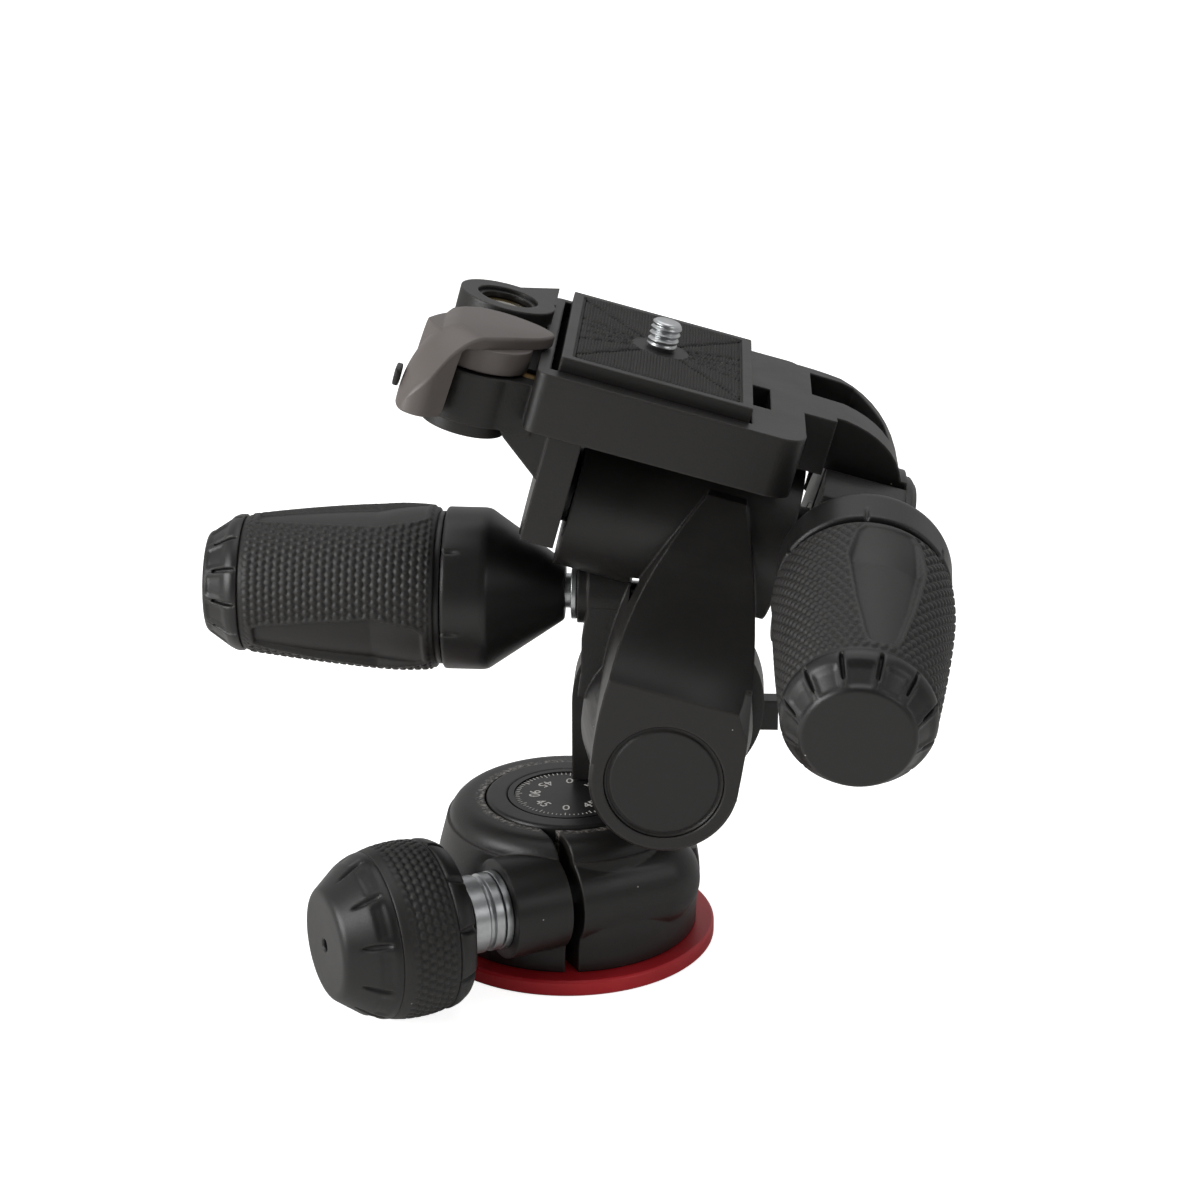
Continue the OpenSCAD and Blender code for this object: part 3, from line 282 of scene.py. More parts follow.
def black_finish(name, tone, light_tone, roughness, grain_mm, grain_depth_mm, edge_highlight_share, dust_share,
                 ring=None):
    """Black plastic: fine grain, faint clouds, edges painted paler as a highlight, and a few pale specks of
    dust.
    Where a ring is given, by its radius and the height it stands up to, dust has gathered along it below
    that."""
    made, tree, shader, where = new_material(name)
    cloud = add(tree, "TexNoise", {"Vector": where, "Scale": 110, "Detail": 4, "Roughness": 0.6})
    base = add(tree, "Mix", {0: cloud.outputs["Fac"], 6: colour(tone), 7: colour(light_tone)},
               data_type="RGBA")
    # Painted highlight: the colour turns paler where the rounded normal bends away from the true one, that is
    # along edges.
    soft = add(tree, "Bevel", {"Radius": EDGE_ROUNDING_AND_HIGHLIGHT_ACROSS * MM}, samples=4)
    plain = add(tree, "NewGeometry")
    turn = add(tree, "VectorMath", {0: soft.outputs[0], 1: plain.outputs["Normal"]}, operation="DOT_PRODUCT")
    edge = add(tree, "MapRange", {"Value": turn.outputs["Value"], "From Min": EDGE_HIGHLIGHT_FROM,
                                  "From Max": EDGE_HIGHLIGHT_FULL, "To Min": 0, "To Max": edge_highlight_share})
    edge_highlit = add(tree, "Mix", {0: edge.outputs[0], 6: base.outputs[2], 7: colour(EDGE_HIGHLIGHT_TONE)},
                 data_type="RGBA")
    speck = add(tree, "TexVoronoi", {"Vector": where, "Scale": 1 / (DUST_SPACING * MM)}, feature="F1")
    pick = add(tree, "SeparateColor", {0: speck.outputs["Color"]})
    chosen = add(tree, "Math", {0: pick.outputs[0], 1: 1 - dust_share}, operation="GREATER_THAN")
    close = add(tree, "Math", {0: speck.outputs["Distance"], 1: DUST_SIZE}, operation="LESS_THAN")
    dust = add(tree, "Math", {0: chosen.outputs[0], 1: close.outputs[0]}, operation="MULTIPLY")
    if ring:
        ring_radius, ring_top = ring
        distance, height = about_axis(tree, where)
        away = add(tree, "Math", {0: distance, 1: ring_radius * MM}, operation="SUBTRACT")
        gap = add(tree, "Math", {0: away.outputs[0]}, operation="ABSOLUTE")
        near = add(tree, "MapRange", {"Value": gap.outputs[0], "From Min": RING_WIDTH * MM, "From Max": 0,
                                      "To Max": 1.0})
        lint = add(tree, "TexNoise", {"Vector": where, "Scale": 1 / (LINT_SIZE * MM), "Detail": 4,
                                      "Roughness": 0.7})
        held = add(tree, "MapRange", {"Value": lint.outputs["Fac"], "From Min": LINT_FROM,
                                      "From Max": LINT_FULL})
        below = add(tree, "Math", {0: height, 1: ring_top * MM}, operation="LESS_THAN")
        foot = add(tree, "Math", {0: near.outputs[0], 1: below.outputs[0]}, operation="MULTIPLY")
        line = add(tree, "Math", {0: foot.outputs[0], 1: held.outputs[0]}, operation="MULTIPLY")
        dust = add(tree, "Math", {0: dust.outputs[0], 1: line.outputs[0]}, operation="MAXIMUM")
    dusty = add(tree, "Mix", {0: dust.outputs[0], 6: edge_highlit.outputs[2], 7: colour(DUST_TONE)},
                data_type="RGBA")
    grain = add(tree, "TexNoise", {"Vector": where, "Scale": 1 / (grain_mm * MM), "Detail": 2})
    bump = add(tree, "Bump", {"Height": grain.outputs["Fac"], "Strength": 0.5,
                              "Distance": grain_depth_mm * MM, "Normal": soft.outputs[0]})
    rough = add(tree, "MapRange", {"Value": cloud.outputs["Fac"], "To Min": roughness - 0.05,
                                   "To Max": roughness + 0.07})
    give(tree, shader, Base_Color=dusty.outputs[2], Roughness=rough.outputs[0], Normal=bump.outputs[0])
    return made


def bright_metal(name, tone, dark_tone, roughness, streak_mm):
    """Plated or turned metal: bright, with fine cloudy streaks in its tone and its gloss."""
    made, tree, shader, where = new_material(name)
    streak = add(tree, "TexNoise", {"Vector": where, "Scale": 1 / (streak_mm * MM), "Detail": 3})
    base = add(tree, "Mix", {0: streak.outputs["Fac"], 6: colour(dark_tone), 7: colour(tone)},
               data_type="RGBA")
    rough = add(tree, "MapRange", {"Value": streak.outputs["Fac"], "To Min": roughness + 0.08,
                                   "To Max": roughness - 0.05})
    bump = add(tree, "Bump", {"Height": streak.outputs["Fac"], "Strength": 0.15, "Distance": 0.02 * MM})
    give(tree, shader, Base_Color=base.outputs[2], Metallic=1.0, Roughness=rough.outputs[0],
         Normal=bump.outputs[0])
    return made


def plain_finish(name, tone, light_tone, roughness, grain_mm, grain_depth_mm):
    """Plastic, enamel or print in one colour, with faint clouds and a fine grain."""
    made, tree, shader, where = new_material(name)
    cloud = add(tree, "TexNoise", {"Vector": where, "Scale": 140, "Detail": 4})
    base = add(tree, "Mix", {0: cloud.outputs["Fac"], 6: colour(tone), 7: colour(light_tone)},
               data_type="RGBA")
    grain = add(tree, "TexNoise", {"Vector": where, "Scale": 1 / (grain_mm * MM), "Detail": 2})
    bump = add(tree, "Bump", {"Height": grain.outputs["Fac"], "Strength": 0.4,
                              "Distance": grain_depth_mm * MM})
    rough = add(tree, "MapRange", {"Value": cloud.outputs["Fac"], "To Min": roughness - 0.04,
                                   "To Max": roughness + 0.06})
    give(tree, shader, Base_Color=base.outputs[2], Roughness=rough.outputs[0], Normal=bump.outputs[0])
    return made


# The glass filled nylon of the frame is semi-matt with a slight grain. The nylon of knobs and caps is a
# little glossier and finer. Rubber is soft and matt.
# The edge share of each black finish sets how strongly its painted highlight lightens the edges.
FILLED_NYLON = {"tone": "181716", "light_tone": "1f1d1c", "roughness": 0.40, "grain_mm": 0.55,
                "grain_depth_mm": 0.05, "edge_highlight_share": 0.42, "dust_share": 0.035}
frame_black = black_finish("filled_nylon", **FILLED_NYLON)
moulded_black = black_finish("moulded_nylon", "161515", "1c1b1a", roughness=0.38, grain_mm=0.35,
                             grain_depth_mm=0.03, edge_highlight_share=0.30, dust_share=0.02)
rubber_black = black_finish("grip_rubber", "1c1b1a", "242221", roughness=0.48, grain_mm=0.30,
                            grain_depth_mm=0.03, edge_highlight_share=0.18, dust_share=0.012)
zinc = bright_metal("zinc_plated_steel", "d6d8d9", "b4b7b9", 0.36, 1.6)
turned_aluminium = bright_metal("turned_aluminium", "c3c4c5", "a9abad", 0.32, 0.8)
brass = bright_metal("turned_brass", "d1aa62", "b98f48", 0.30, 0.9)
dial_black = plain_finish("dial_enamel", "1d1c1c", "242323", 0.40, 0.4, 0.01)
liner_acetal = plain_finish("acetal_liner", "cdbf9b", "d8cba9", 0.38, 0.4, 0.02)
dial_print = plain_finish("dial_print", "dddad5", "eae7e2", 0.55, 0.3, 0.01)
red_disc = red_anodised()


def joint(name):
    """The joint of this name, as the frame gives it."""
    return next(j for j in frame["joints"] if j["name"] == name)


# The arm leans, so the platform's own axes are the front axle's, the lens's way and what is up between them.
LEAN_AXIS = np.array(joint("front_tilt")["axis"])
UP = np.cross(LEAN_AXIS, (0, 1, 0))
UPRIGHT = np.array((0.0, 0.0, 1.0))


def place_on(name, up):
    """Origin in millimetres and three axes of a joint: z along its axis, x as near to up as that allows."""
    origin = np.array(joint(name)["pos_m"]) / MM
    z = np.array(joint(name)["axis"]) / np.linalg.norm(joint(name)["axis"])
    x = up - (up @ z) * z
    x /= np.linalg.norm(x)
    return origin, x, np.cross(z, x), z


BASE_PLACE = (np.zeros(3), np.array((1.0, 0, 0)), np.array((0, 1.0, 0)), UPRIGHT)


def corners_of(node):
    """All points of a CAD piece's mesh, in millimetres."""
    return np.array([v.co for v in frame["nodes"][node].data.vertices]) / MM


def about_place(node, place):
    """Height along a place's axis of each point of a CAD piece, and its radius about that axis."""
    points = corners_of(node) - place[0]
    height = points @ place[3]
    return height, np.linalg.norm(points - height[:, None] * place[3], axis=1)


def reach(node, place):
    """Lowest and highest height of a CAD piece along a place's axis, and its largest radius about it."""
    height, radius = about_place(node, place)
    return height.min(), height.max(), radius.max()


def rim(node, place, level):
    """Largest radius of a CAD piece near one height on a place's axis."""
    height, radius = about_place(node, place)
    return radius[np.abs(height - level) < NEAR].max()


def finish_piece(piece, body, material, slot, *nodes):
    """Rides the piece on its body, gives it its material, and lets it stand for its CAD pieces."""
    piece.data.materials.clear()
    piece.data.materials.append(material)
    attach(piece, body)
    if nodes:
        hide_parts(*nodes)
    return piece


def skin(name, rows, wrap=False):
    """A mesh over rows[i, j] of points in millimetres, closed round j. A first or last row that is one point
    becomes a pole, and wrap joins the last row to the first."""
    count, columns = rows.shape[:2]
    low_pole = not wrap and np.ptp(rows[0], axis=0).max() < 1e-6
    high_pole = not wrap and np.ptp(rows[-1], axis=0).max() < 1e-6
    first, last = int(low_pole), count - int(high_pole)
    points = rows[first:last].reshape(-1, 3)
    index = np.arange(len(points)).reshape(-1, columns)
    if wrap:
        index = np.vstack([index, index[:1]])
    turned_on = np.roll(index, -1, axis=1)
    quads = np.stack([index[:-1], turned_on[:-1], turned_on[1:], index[1:]], axis=-1).reshape(-1, 4)
    faces = quads.tolist()
    if low_pole:
        faces += [[len(points), b, a] for a, b in zip(index[0].tolist(), turned_on[0].tolist())]
        points = np.vstack([points, rows[0, :1]])
    if high_pole:
        faces += [[a, b, len(points)] for a, b in zip(index[-1].tolist(), turned_on[-1].tolist())]
        points = np.vstack([points, rows[-1, :1]])
    mesh = bpy.data.meshes.new(name)
    mesh.from_pydata((points * MM).tolist(), [], faces)
    mesh.shade_smooth()
    return new_object(name, mesh)


def rounded(corners, radius, steps=4, spacing=None):
    """A profile through the corners, each rounded by a parabola that starts and ends radius from the corner,
    or nearer where a side is short. Where a spacing is given, no two points are further apart than it."""
    corners = np.array(corners, float)
    path = [corners[0]]
    for before, corner, after in zip(corners[:-2], corners[1:-1], corners[2:]):
        back, on = before - corner, after - corner
        back_long, on_long = np.linalg.norm(back), np.linalg.norm(on)
        cut = min(radius, CORNER_SHARE * min(back_long, on_long))
        start, end = corner + back / back_long * cut, corner + on / on_long * cut
        share = np.linspace(0, 1, steps + 1)[:, None]
        path += list((1 - share) ** 2 * start + 2 * share * (1 - share) * corner + share**2 * end)
    path = np.array(path + [corners[-1]])
    if spacing is None:
        return path
    dense = [path[:1]]
    for a, b in zip(path[:-1], path[1:]):
        pieces = max(1, math.ceil(np.linalg.norm(b - a) / spacing))
        dense.append(a + (b - a) * (np.arange(1, pieces + 1) / pieces)[:, None])
    return np.vstack(dense)


def turned(name, place, profile, columns=96, sink=None, wrap=False):
    """A profile of radius and height carried round a place's axis. sink gives how far each point is drawn in
    towards the axis, from its angle and its place on the profile."""
    angle = np.linspace(0, 2 * math.pi, columns, endpoint=False)[None, :]
    radius, height = profile[:, :1], profile[:, 1:]
    if sink is not None:
        radius = radius - sink(angle, radius, height)
    origin, x, y, z = place
    rows = (origin + (radius * np.cos(angle))[..., None] * x + (radius * np.sin(angle))[..., None] * y
            + (height + 0 * angle)[..., None] * z)
    return skin(name, rows, wrap)


SLOTS = {name: cad.material_slots[0].material.name for name, cad in frame["nodes"].items()}


def eased(node, width, material, steps=2):
    """A copy of a CAD piece, merged to one skin, with every sharp edge rounded."""
    cad = frame["nodes"][node]
    mesh = cad.data.copy()
    if "custom_normal" in mesh.attributes:
        mesh.attributes.remove(mesh.attributes["custom_normal"])
    shell = bmesh.new()
    shell.from_mesh(mesh)
    bmesh.ops.remove_doubles(shell, verts=shell.verts, dist=0.002 * MM)
    bmesh.ops.dissolve_limit(shell, angle_limit=math.radians(0.5), verts=shell.verts, edges=shell.edges)
    shell.to_mesh(mesh)
    shell.free()
    mesh.shade_smooth()
    mesh.set_sharp_from_angle(angle=math.radians(EASED_ABOVE_DEG))
    piece = new_object(node + "_finished", mesh)
    bevel = piece.modifiers.new("rounded_edges", "BEVEL")
    bevel.width = width * MM
    bevel.segments = steps
    bevel.limit_method = "ANGLE"
    bevel.angle_limit = math.radians(EASED_ABOVE_DEG)
    bevel.use_clamp_overlap = True
    bevel.harden_normals = True
    bevel.miter_outer = "MITER_ARC"
    return finish_piece(piece, cad["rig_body"], material, SLOTS[node], node)


def dressed(node, material):
    """The CAD piece itself, with its finish."""
    cad = frame["nodes"][node]
    for holder in cad.material_slots:
        holder.material = material


def tick_marks():
    """Radial bars round the dial's edge, every sixth one longer, each a thin closed block of print."""
    _, top, radius = reach("pan_dial", BASE_PLACE)
    angle = np.arange(DIAL_TICKS) * 2 * math.pi / DIAL_TICKS
    length = np.where(np.arange(DIAL_TICKS) % TICK_LONG_EVERY == 0, TICK_LONG, TICK_SHORT)
    out = radius - TICK_INSET
    along = np.stack([np.cos(angle), np.sin(angle), 0 * angle], -1)
    across = np.stack([-np.sin(angle), np.cos(angle), 0 * angle], -1) * TICK_WIDTH / 2
    corners = []
    for lift in (top - PRINT_LIFT, top + PRINT_LIFT):
        for inward, side in ((1, -1), (0, -1), (0, 1), (1, 1)):
            corners.append(along * (out - inward * length)[:, None] + side * across + lift * UPRIGHT)
    points = np.stack(corners, 1).reshape(-1, 3)
    block = np.array([(0, 3, 2, 1), (4, 5, 6, 7), (0, 1, 5, 4), (1, 2, 6, 5), (2, 3, 7, 6), (3, 0, 4, 7)])
    faces = (np.arange(DIAL_TICKS)[:, None, None] * 8 + block).reshape(-1, 4)
    mesh = bpy.data.meshes.new("dial_ticks")
    mesh.from_pydata((points * MM).tolist(), [], faces.tolist())
    return finish_piece(new_object("dial_ticks", mesh), "base", dial_print, "dial_black")


def dial_numbers():
    """Plain numbers round the dial, set to be read from outside and printed as one thin piece."""
    _, top, _ = reach("pan_dial", BASE_PLACE)
    digits = []
    for i, word in enumerate(DIAL_NUMBERS):
        curve = bpy.data.curves.new("digits", "FONT")
        curve.body = word
        curve.size = DIGIT_HEIGHT * FONT_PER_DIGIT * MM
        curve.extrude = PRINT_LIFT * MM
        curve.align_x = "CENTER"
        curve.align_y = "CENTER"
        turn = math.radians(-90 + i * 360 / len(DIAL_NUMBERS))
        digit = new_object("digits", curve)
        outward = Vector((math.cos(turn), math.sin(turn), 0))
        digit.location = outward * DIGIT_RING * MM + Vector((0, 0, top * MM))
        digit.rotation_euler = (0, 0, turn + math.pi / 2)
        digits.append(digit)
    bpy.context.view_layer.update()
    sheet = bmesh.new()
    for digit in digits:
        mesh = bpy.data.meshes.new_from_object(digit)
        mesh.transform(digit.matrix_world)
        sheet.from_mesh(mesh)
        bpy.data.meshes.remove(mesh)
        bpy.data.objects.remove(digit)
    mesh = bpy.data.meshes.new("dial_numbers")
    sheet.to_mesh(mesh)
    sheet.free()
    return finish_piece(new_object("dial_numbers", mesh), "base", dial_print, "dial_black")


def thread_sink(pitch, depth, start, end):
    """How far a screw's skin is drawn in: a V, cut flat at its crest and its root, that climbs one pitch a
    turn between two heights and starts and ends over one pitch."""
    def sink(angle, radius, height):
        phase = (height / pitch - angle / (2 * math.pi)) % 1
        groove = depth * np.clip(THREAD_STEEP * (1 - 2 * np.abs(phase - 0.5)) - THREAD_ROOT, 0, 1)
        inside = np.clip((height - start) / pitch, 0, 1) * np.clip((end - height) / pitch, 0, 1)
        return groove * inside
    return sink


def threaded_bush():
    """The steel bush for the tripod's stud: a flanged tube with a closed top, its bore cut with the large
    thread."""
    low, high, flange = reach("thread_bush", BASE_PLACE)
    flange_low, flange_high = BUSH_FLANGE
    floor = high - BUSH_ROOF
    bore = [(BUSH_BORE_R, h) for h in np.arange(floor, low, -BORE_STEP)]
    outer = [(BUSH_BORE_R, low), (BUSH_TUBE_R, low), (BUSH_TUBE_R, flange_low), (flange, flange_low),
             (flange, flange_high), (BUSH_TUBE_R, flange_high), (BUSH_TUBE_R, high), (0, high)]
    path = np.array([(0, floor)] + bore + outer, float)
    deep = thread_sink(THREAD_PITCH_LARGE, -THREAD_DEPTH_LARGE, low + BORE_RUN_IN, floor - BORE_RUN_OUT)

    def sink(angle, radius, height):
        return np.where(np.abs(radius - BUSH_BORE_R) < 1e-6, deep(angle, radius, height), 0)

    piece = turned("threaded_bush", BASE_PLACE, path, sink=sink)
    return finish_piece(piece, "base", zinc, "zinc", "thread_bush")


eased("base_plate", EDGE_DISC, red_disc)
eased("keeper_ring", EDGE_MOULDED, moulded_black)
eased("base_screws", EDGE_SCREW, zinc)
dressed("pan_spindle", dial_black)
dressed("pan_dial", dial_black)
threaded_bush()
tick_marks()
dial_numbers()

# ---- Pan housing: the split ring that turns on the spindle, with the ear for the lateral tilt ----
# One moulding of filled nylon over an acetal liner. The ear behind carries the aluminium axle, its nut and a
# cap. Dust has settled on the housing's top round the keeper ring.
EDGE_FRAME = 0.6
DUST_OFF = 0.9

_, keeper_top, keeper_r = reach("keeper_ring", BASE_PLACE)
housing_black = black_finish("filled_nylon_dusty", **FILLED_NYLON, ring=(keeper_r + DUST_OFF, keeper_top))
eased("pan_housing", EDGE_FRAME, housing_black, steps=3)
eased("ear_cap", EDGE_MOULDED, moulded_black)
for node in ("pan_liner", "friction_washer"):
    dressed(node, liner_acetal)
for node in ("pan_nut", "axle_nut", "axle_screw"):
    eased(node, EDGE_STEEL, zinc)
dressed("lateral_axle", turned_aluminium)

# ---- Pan knob: a screw with a barrel knob that closes the housing on the spindle ----
# A nylon core with a moulded rubber band and a chamfered cap. Its notches give the fingers hold, and a zinc
# plated cup and washer bear on the housing's lug.
KNOB_NOTCHES = 10
PIP_WIDTH = 2.1
PIP_PITCH = 1.6
PIP_HEIGHT = 0.42
PIP_EDGE = 0.97
PIP_FALL = 0.42
SAMPLES_PER_PIP = 8
COLUMNS_PER_NOTCH = 48
LEAF_BLUNT = 0.5
SLOT_BLUNT = 0.16
SLOT_STEEP = 1.7
SCOOP_RISE = 1.4
SCOOP_FALL = 1.0
SCOOP_SHARE = 0.42
SCOOP_EDGE = 0.16
BAND_TUCK = 0.75
BAND_FADE_LOW = 0.08
BAND_FADE_FROM = 0.68
BAND_FADE_TO = 0.9
CORE_R = 11.6
NECK_OUT = 0.6
RIM_LONG = 5
RIM_INNER_R = 14
EDGE_CUP = 0.2

PAN_KNOB = place_on("pan_knob_turn", UPRIGHT)


def smooth(x):
    """A step from 0 to 1 with level ends, as x goes from 0 to 1."""
    x = np.clip(x, 0, 1)
    return x * x * (3 - 2 * x)


def pips(angle, height, count):
    """Rounded bricks in staggered rows, count of them round the piece: each is full in its middle and falls
    to nothing at its edge, by the cube root of the sum of both distances' cubes from the middle."""
    row = np.floor(height / PIP_PITCH)
    across = (angle * count / (2 * math.pi) + 0.5 * (row % 2)) % 1 - 0.5
    along = height / PIP_PITCH - row - 0.5
    away = (np.abs(2 * across) ** 3 + np.abs(2 * along) ** 3) ** (1 / 3)
    return PIP_HEIGHT * smooth((PIP_EDGE - away) / PIP_FALL)


def notch_sink(count, low, high, width, depth, blunt, scoop, scoop_low, scoop_high):
    """Slots at even angles between two heights, narrowing to their ends as blunt says, where 0.5 is a leaf
    and less is squarer, and a shallow scoop for a finger between each two of them."""
    def sink(angle, radius, height):
        share = np.clip((height - low) / (high - low), 0, 1)
        leaf = (4 * share * (1 - share)) ** blunt * (share > 0) * (share < 1)
        off = (angle * count / (2 * math.pi) + 0.5) % 1 - 0.5
        side = np.abs(off) * 2 * math.pi / count * np.maximum(radius, 1)
        slot = depth * leaf * smooth(SLOT_STEEP - SLOT_STEEP * side / (width * np.maximum(leaf, 0.05)))
        bowl = smooth((height - scoop_low) / SCOOP_RISE) * smooth((scoop_high - height) / SCOOP_FALL)
        dish = scoop * bowl * smooth((SCOOP_SHARE - np.abs(off - np.sign(off) * 0.5)) / SCOOP_EDGE)
        return np.maximum(slot, dish)
    return sink


def knob_cap():
    """The cap: a short wall, a shoulder and a cone cut by ten leaf shaped slots, and a face with a dimple."""
    low, high, radius = reach("pan_knob_cap", PAN_KNOB)
    face = rim("pan_knob_cap", PAN_KNOB, high)
    path = rounded([(0, low), (radius - 0.1, low), (radius - 0.05, low + 0.1), (radius - 0.25, low + 1.4),
                    (radius - 1.3, low + 4.0), (face + 0.2, high), (1.5, high), (1.3, high - 0.3),
                    (1.2, high - 1.6), (0, high - 1.7)], 1.3, 6, spacing=0.3)
    sink = notch_sink(KNOB_NOTCHES, low + 1.6, low + 7.4, width=0.75, depth=1.0, blunt=LEAF_BLUNT, scoop=0.28,
                      scoop_low=low + 1.2, scoop_high=low + 4.6)

    def outside(angle, r, h):
        return np.where(r > face * 0.94, sink(angle, r, h), 0)

    piece = turned("pan_knob_end", PAN_KNOB, path, KNOB_NOTCHES * COLUMNS_PER_NOTCH, outside)
    return finish_piece(piece, "pan_knob", moulded_black, "moulded_black", "pan_knob_cap")


def knob_band():
    """The rubber band: rows of pips that fade out near the cap, where the band turns in by a fourth power to
    meet it."""
    low, high, radius = reach("pan_knob_rubber", PAN_KNOB)
    count = round(2 * math.pi * radius / PIP_WIDTH)
    heights = np.linspace(low, high, round((high - low) / PIP_PITCH * SAMPLES_PER_PIP) + 1)
    share = (heights - low) / (high - low)
    inset = radius + 0.05 - reach("pan_knob_cap", PAN_KNOB)[2]
    outer = radius - BAND_TUCK * (1 - share) ** 6 - inset * share**4
    path = np.vstack([[(CORE_R, high), (CORE_R, low)], np.stack([outer, heights], 1)])

    def sink(angle, r, h):
        s = (h - low) / (high - low)
        fade = smooth(s / BAND_FADE_LOW) * smooth((BAND_FADE_TO - s) / (BAND_FADE_TO - BAND_FADE_FROM))
        raised = pips(angle, h, count)
        return np.where(r > CORE_R + 1, (PIP_HEIGHT - raised) * fade, 0)

    piece = turned("pan_knob_band", PAN_KNOB, path, count * SAMPLES_PER_PIP, sink, wrap=True)
    return finish_piece(piece, "pan_knob", rubber_black, "rubber_black", "pan_knob_rubber")


def knob_core():
    """The core: its neck reaches into the cup, and its rim towards the head is cut by ten slots."""
    low, high, radius = reach("pan_knob_core", PAN_KNOB)
    band_low = reach("pan_knob_rubber", PAN_KNOB)[0]
    neck = rim("pan_knob_core", PAN_KNOB, low) + NECK_OUT
    start = band_low - RIM_LONG
    path = rounded([(0, low), (neck, low), (neck, start), (RIM_INNER_R, start), (radius - 1.6, start + 1),
                    (radius - 0.4, start + 3), (radius, band_low - 0.1), (CORE_R, band_low - 0.1),
                    (CORE_R, high), (0, high)], 0.6, spacing=0.4)
    sink = notch_sink(KNOB_NOTCHES, start - 1.6, band_low + 0.2, width=0.9, depth=1.3, blunt=LEAF_BLUNT,
                      scoop=0, scoop_low=start, scoop_high=start)

    def outside(angle, r, h):
        return np.where(r > CORE_R + 1, sink(angle, r, h), 0)

    piece = turned("pan_knob_body", PAN_KNOB, path, KNOB_NOTCHES * COLUMNS_PER_NOTCH, outside)
    return finish_piece(piece, "pan_knob", moulded_black, "moulded_black", "pan_knob_core")


eased("pan_cup", EDGE_CUP, zinc, steps=3)
eased("pan_washer", EDGE_STEEL, zinc)
dressed("pan_screw", zinc)
knob_core()
knob_band()
knob_cap()

# ---- Tilt arm: turns on the lateral axle and carries the barrel of the front axle ----
# One moulding of filled nylon with a clamp slot beside its neck. A round cap closes the boss in front. The
# front axle is finished black.
eased("tilt_arm", EDGE_FRAME, frame_black, steps=3)
eased("pivot_cap", EDGE_MOULDED, moulded_black, steps=3)
dressed("lateral_bush", liner_acetal)
dressed("front_axle", dial_black)
eased("lateral_nut", EDGE_STEEL, zinc)

# ---- Handles: two alike, each a cone that turns on a screw and a grip that draws out along its rod ----
# Cone and end cap are moulded nylon. The grip is rubber, moulded with rows of pips and three sunk panels for
# the thumb, and a ring of notches and scoops at its end cap.
GRIP_SAMPLES_PER_PIP = 7
PANELS = 3
PANEL_SHARES = [0.05, 0.10, 0.30, 0.62, 0.87, 0.93]
PANEL_HALF_WIDTHS = [15.0, 20.0, 25.5, 20.0, 13.0, 10.0]
PANEL_DEPTHS = [(0.05, 0.32, 0.93), (0.35, 1.90, 0.75)]
PANEL_EDGE_DEG = 1.8
PANEL_RIM_DEG = 2.6
PANEL_MARGIN = 0.03
PANEL_END = 0.015
RIM_EDGE_DEG = 0.8
PIPS_FROM_END = 0.7
PIPS_FULL = 0.6
GRIP_FULLEST = 0.2
GRIP_SWELL = 0.4
GRIP_LIP = 0.2
GRIP_LIP_LONG = 0.3
CAP_NOTCHES = 12
CAP_SCOOP = 0.45
CONE_BORE_R = 2.5
CONE_NECK_R = 6.0
COLLAR_LONG = 9.3
COLLAR_SLITS = 6
COLUMNS_PER_SLIT = 72
SLIT_DEPTH = 0.7
SLIT_WIDTH = 0.3
SLIT_LONG = 3
SLIT_END = 0.5
EDGE_WASHER = 0.25


def grip_skin(handle, place):
    """The rubber: its radius grows by a square to its fullest, a fifth of the way along, and falls from there
    to the end cap by a power of the way. Pips stand on it outside the panels. A panel has a smooth rim, and
    two slopes that meet in a crease."""
    low, high, radius = reach(handle + "_grip_rubber", place)
    end = reach(handle + "_end_cap", place)[2]
    rows = round((high - low) / PIP_PITCH * GRIP_SAMPLES_PER_PIP)
    heights = np.linspace(low, high, rows + 1)
    share = (heights - low) / (high - low)
    past = np.maximum(share - GRIP_FULLEST, 0) / (1 - GRIP_FULLEST)
    outer = np.where(share < GRIP_FULLEST, radius - GRIP_SWELL * (1 - share / GRIP_FULLEST) ** 2,
                     radius - (radius - end) * past**1.35)
    ends = np.minimum(heights - low, high - heights)
    outer = outer - GRIP_LIP * (1 - np.clip(ends / GRIP_LIP_LONG, 0, 1)) ** 2
    path = np.vstack([[(CORE_R, high), (CORE_R, low)], np.stack([outer, heights], 1)])
    count = round(2 * math.pi * radius / PIP_WIDTH)

    def sink(angle, r, h):
        s = (h - low) / (high - low)
        off = np.degrees((angle * PANELS / (2 * math.pi) + 0.5) % 1 - 0.5) * 2 * math.pi / PANELS
        inward = np.interp(s, PANEL_SHARES, PANEL_HALF_WIDTHS) - np.abs(off)
        from_start, to_stop = s - PANEL_SHARES[0], PANEL_SHARES[-1] - s
        within = smooth(from_start / PANEL_END) * smooth(to_stop / PANEL_END)
        beside = (smooth((from_start + PANEL_MARGIN) / PANEL_END)
                  * smooth((to_stop + PANEL_MARGIN) / PANEL_END))
        panel = smooth(inward / PANEL_EDGE_DEG) * within
        smooth_rim = smooth((inward + PANEL_RIM_DEG) / RIM_EDGE_DEG) * beside
        from_end = np.minimum(h - low, high - h)
        raised = pips(angle, h, count) * smooth((from_end - PIPS_FROM_END) / PIPS_FULL)
        raised = np.maximum(raised, PIP_HEIGHT * smooth_rim)
        total = (1 - panel) * (PIP_HEIGHT - raised) + panel * np.interp(s, *PANEL_DEPTHS)
        return np.where(r > CORE_R + 0.5, total, 0)

    piece = turned(handle + "_grip_skin", place, path, count * GRIP_SAMPLES_PER_PIP, sink, wrap=True)
    return finish_piece(piece, handle + "_grip", rubber_black, "rubber_black", handle + "_grip_rubber")


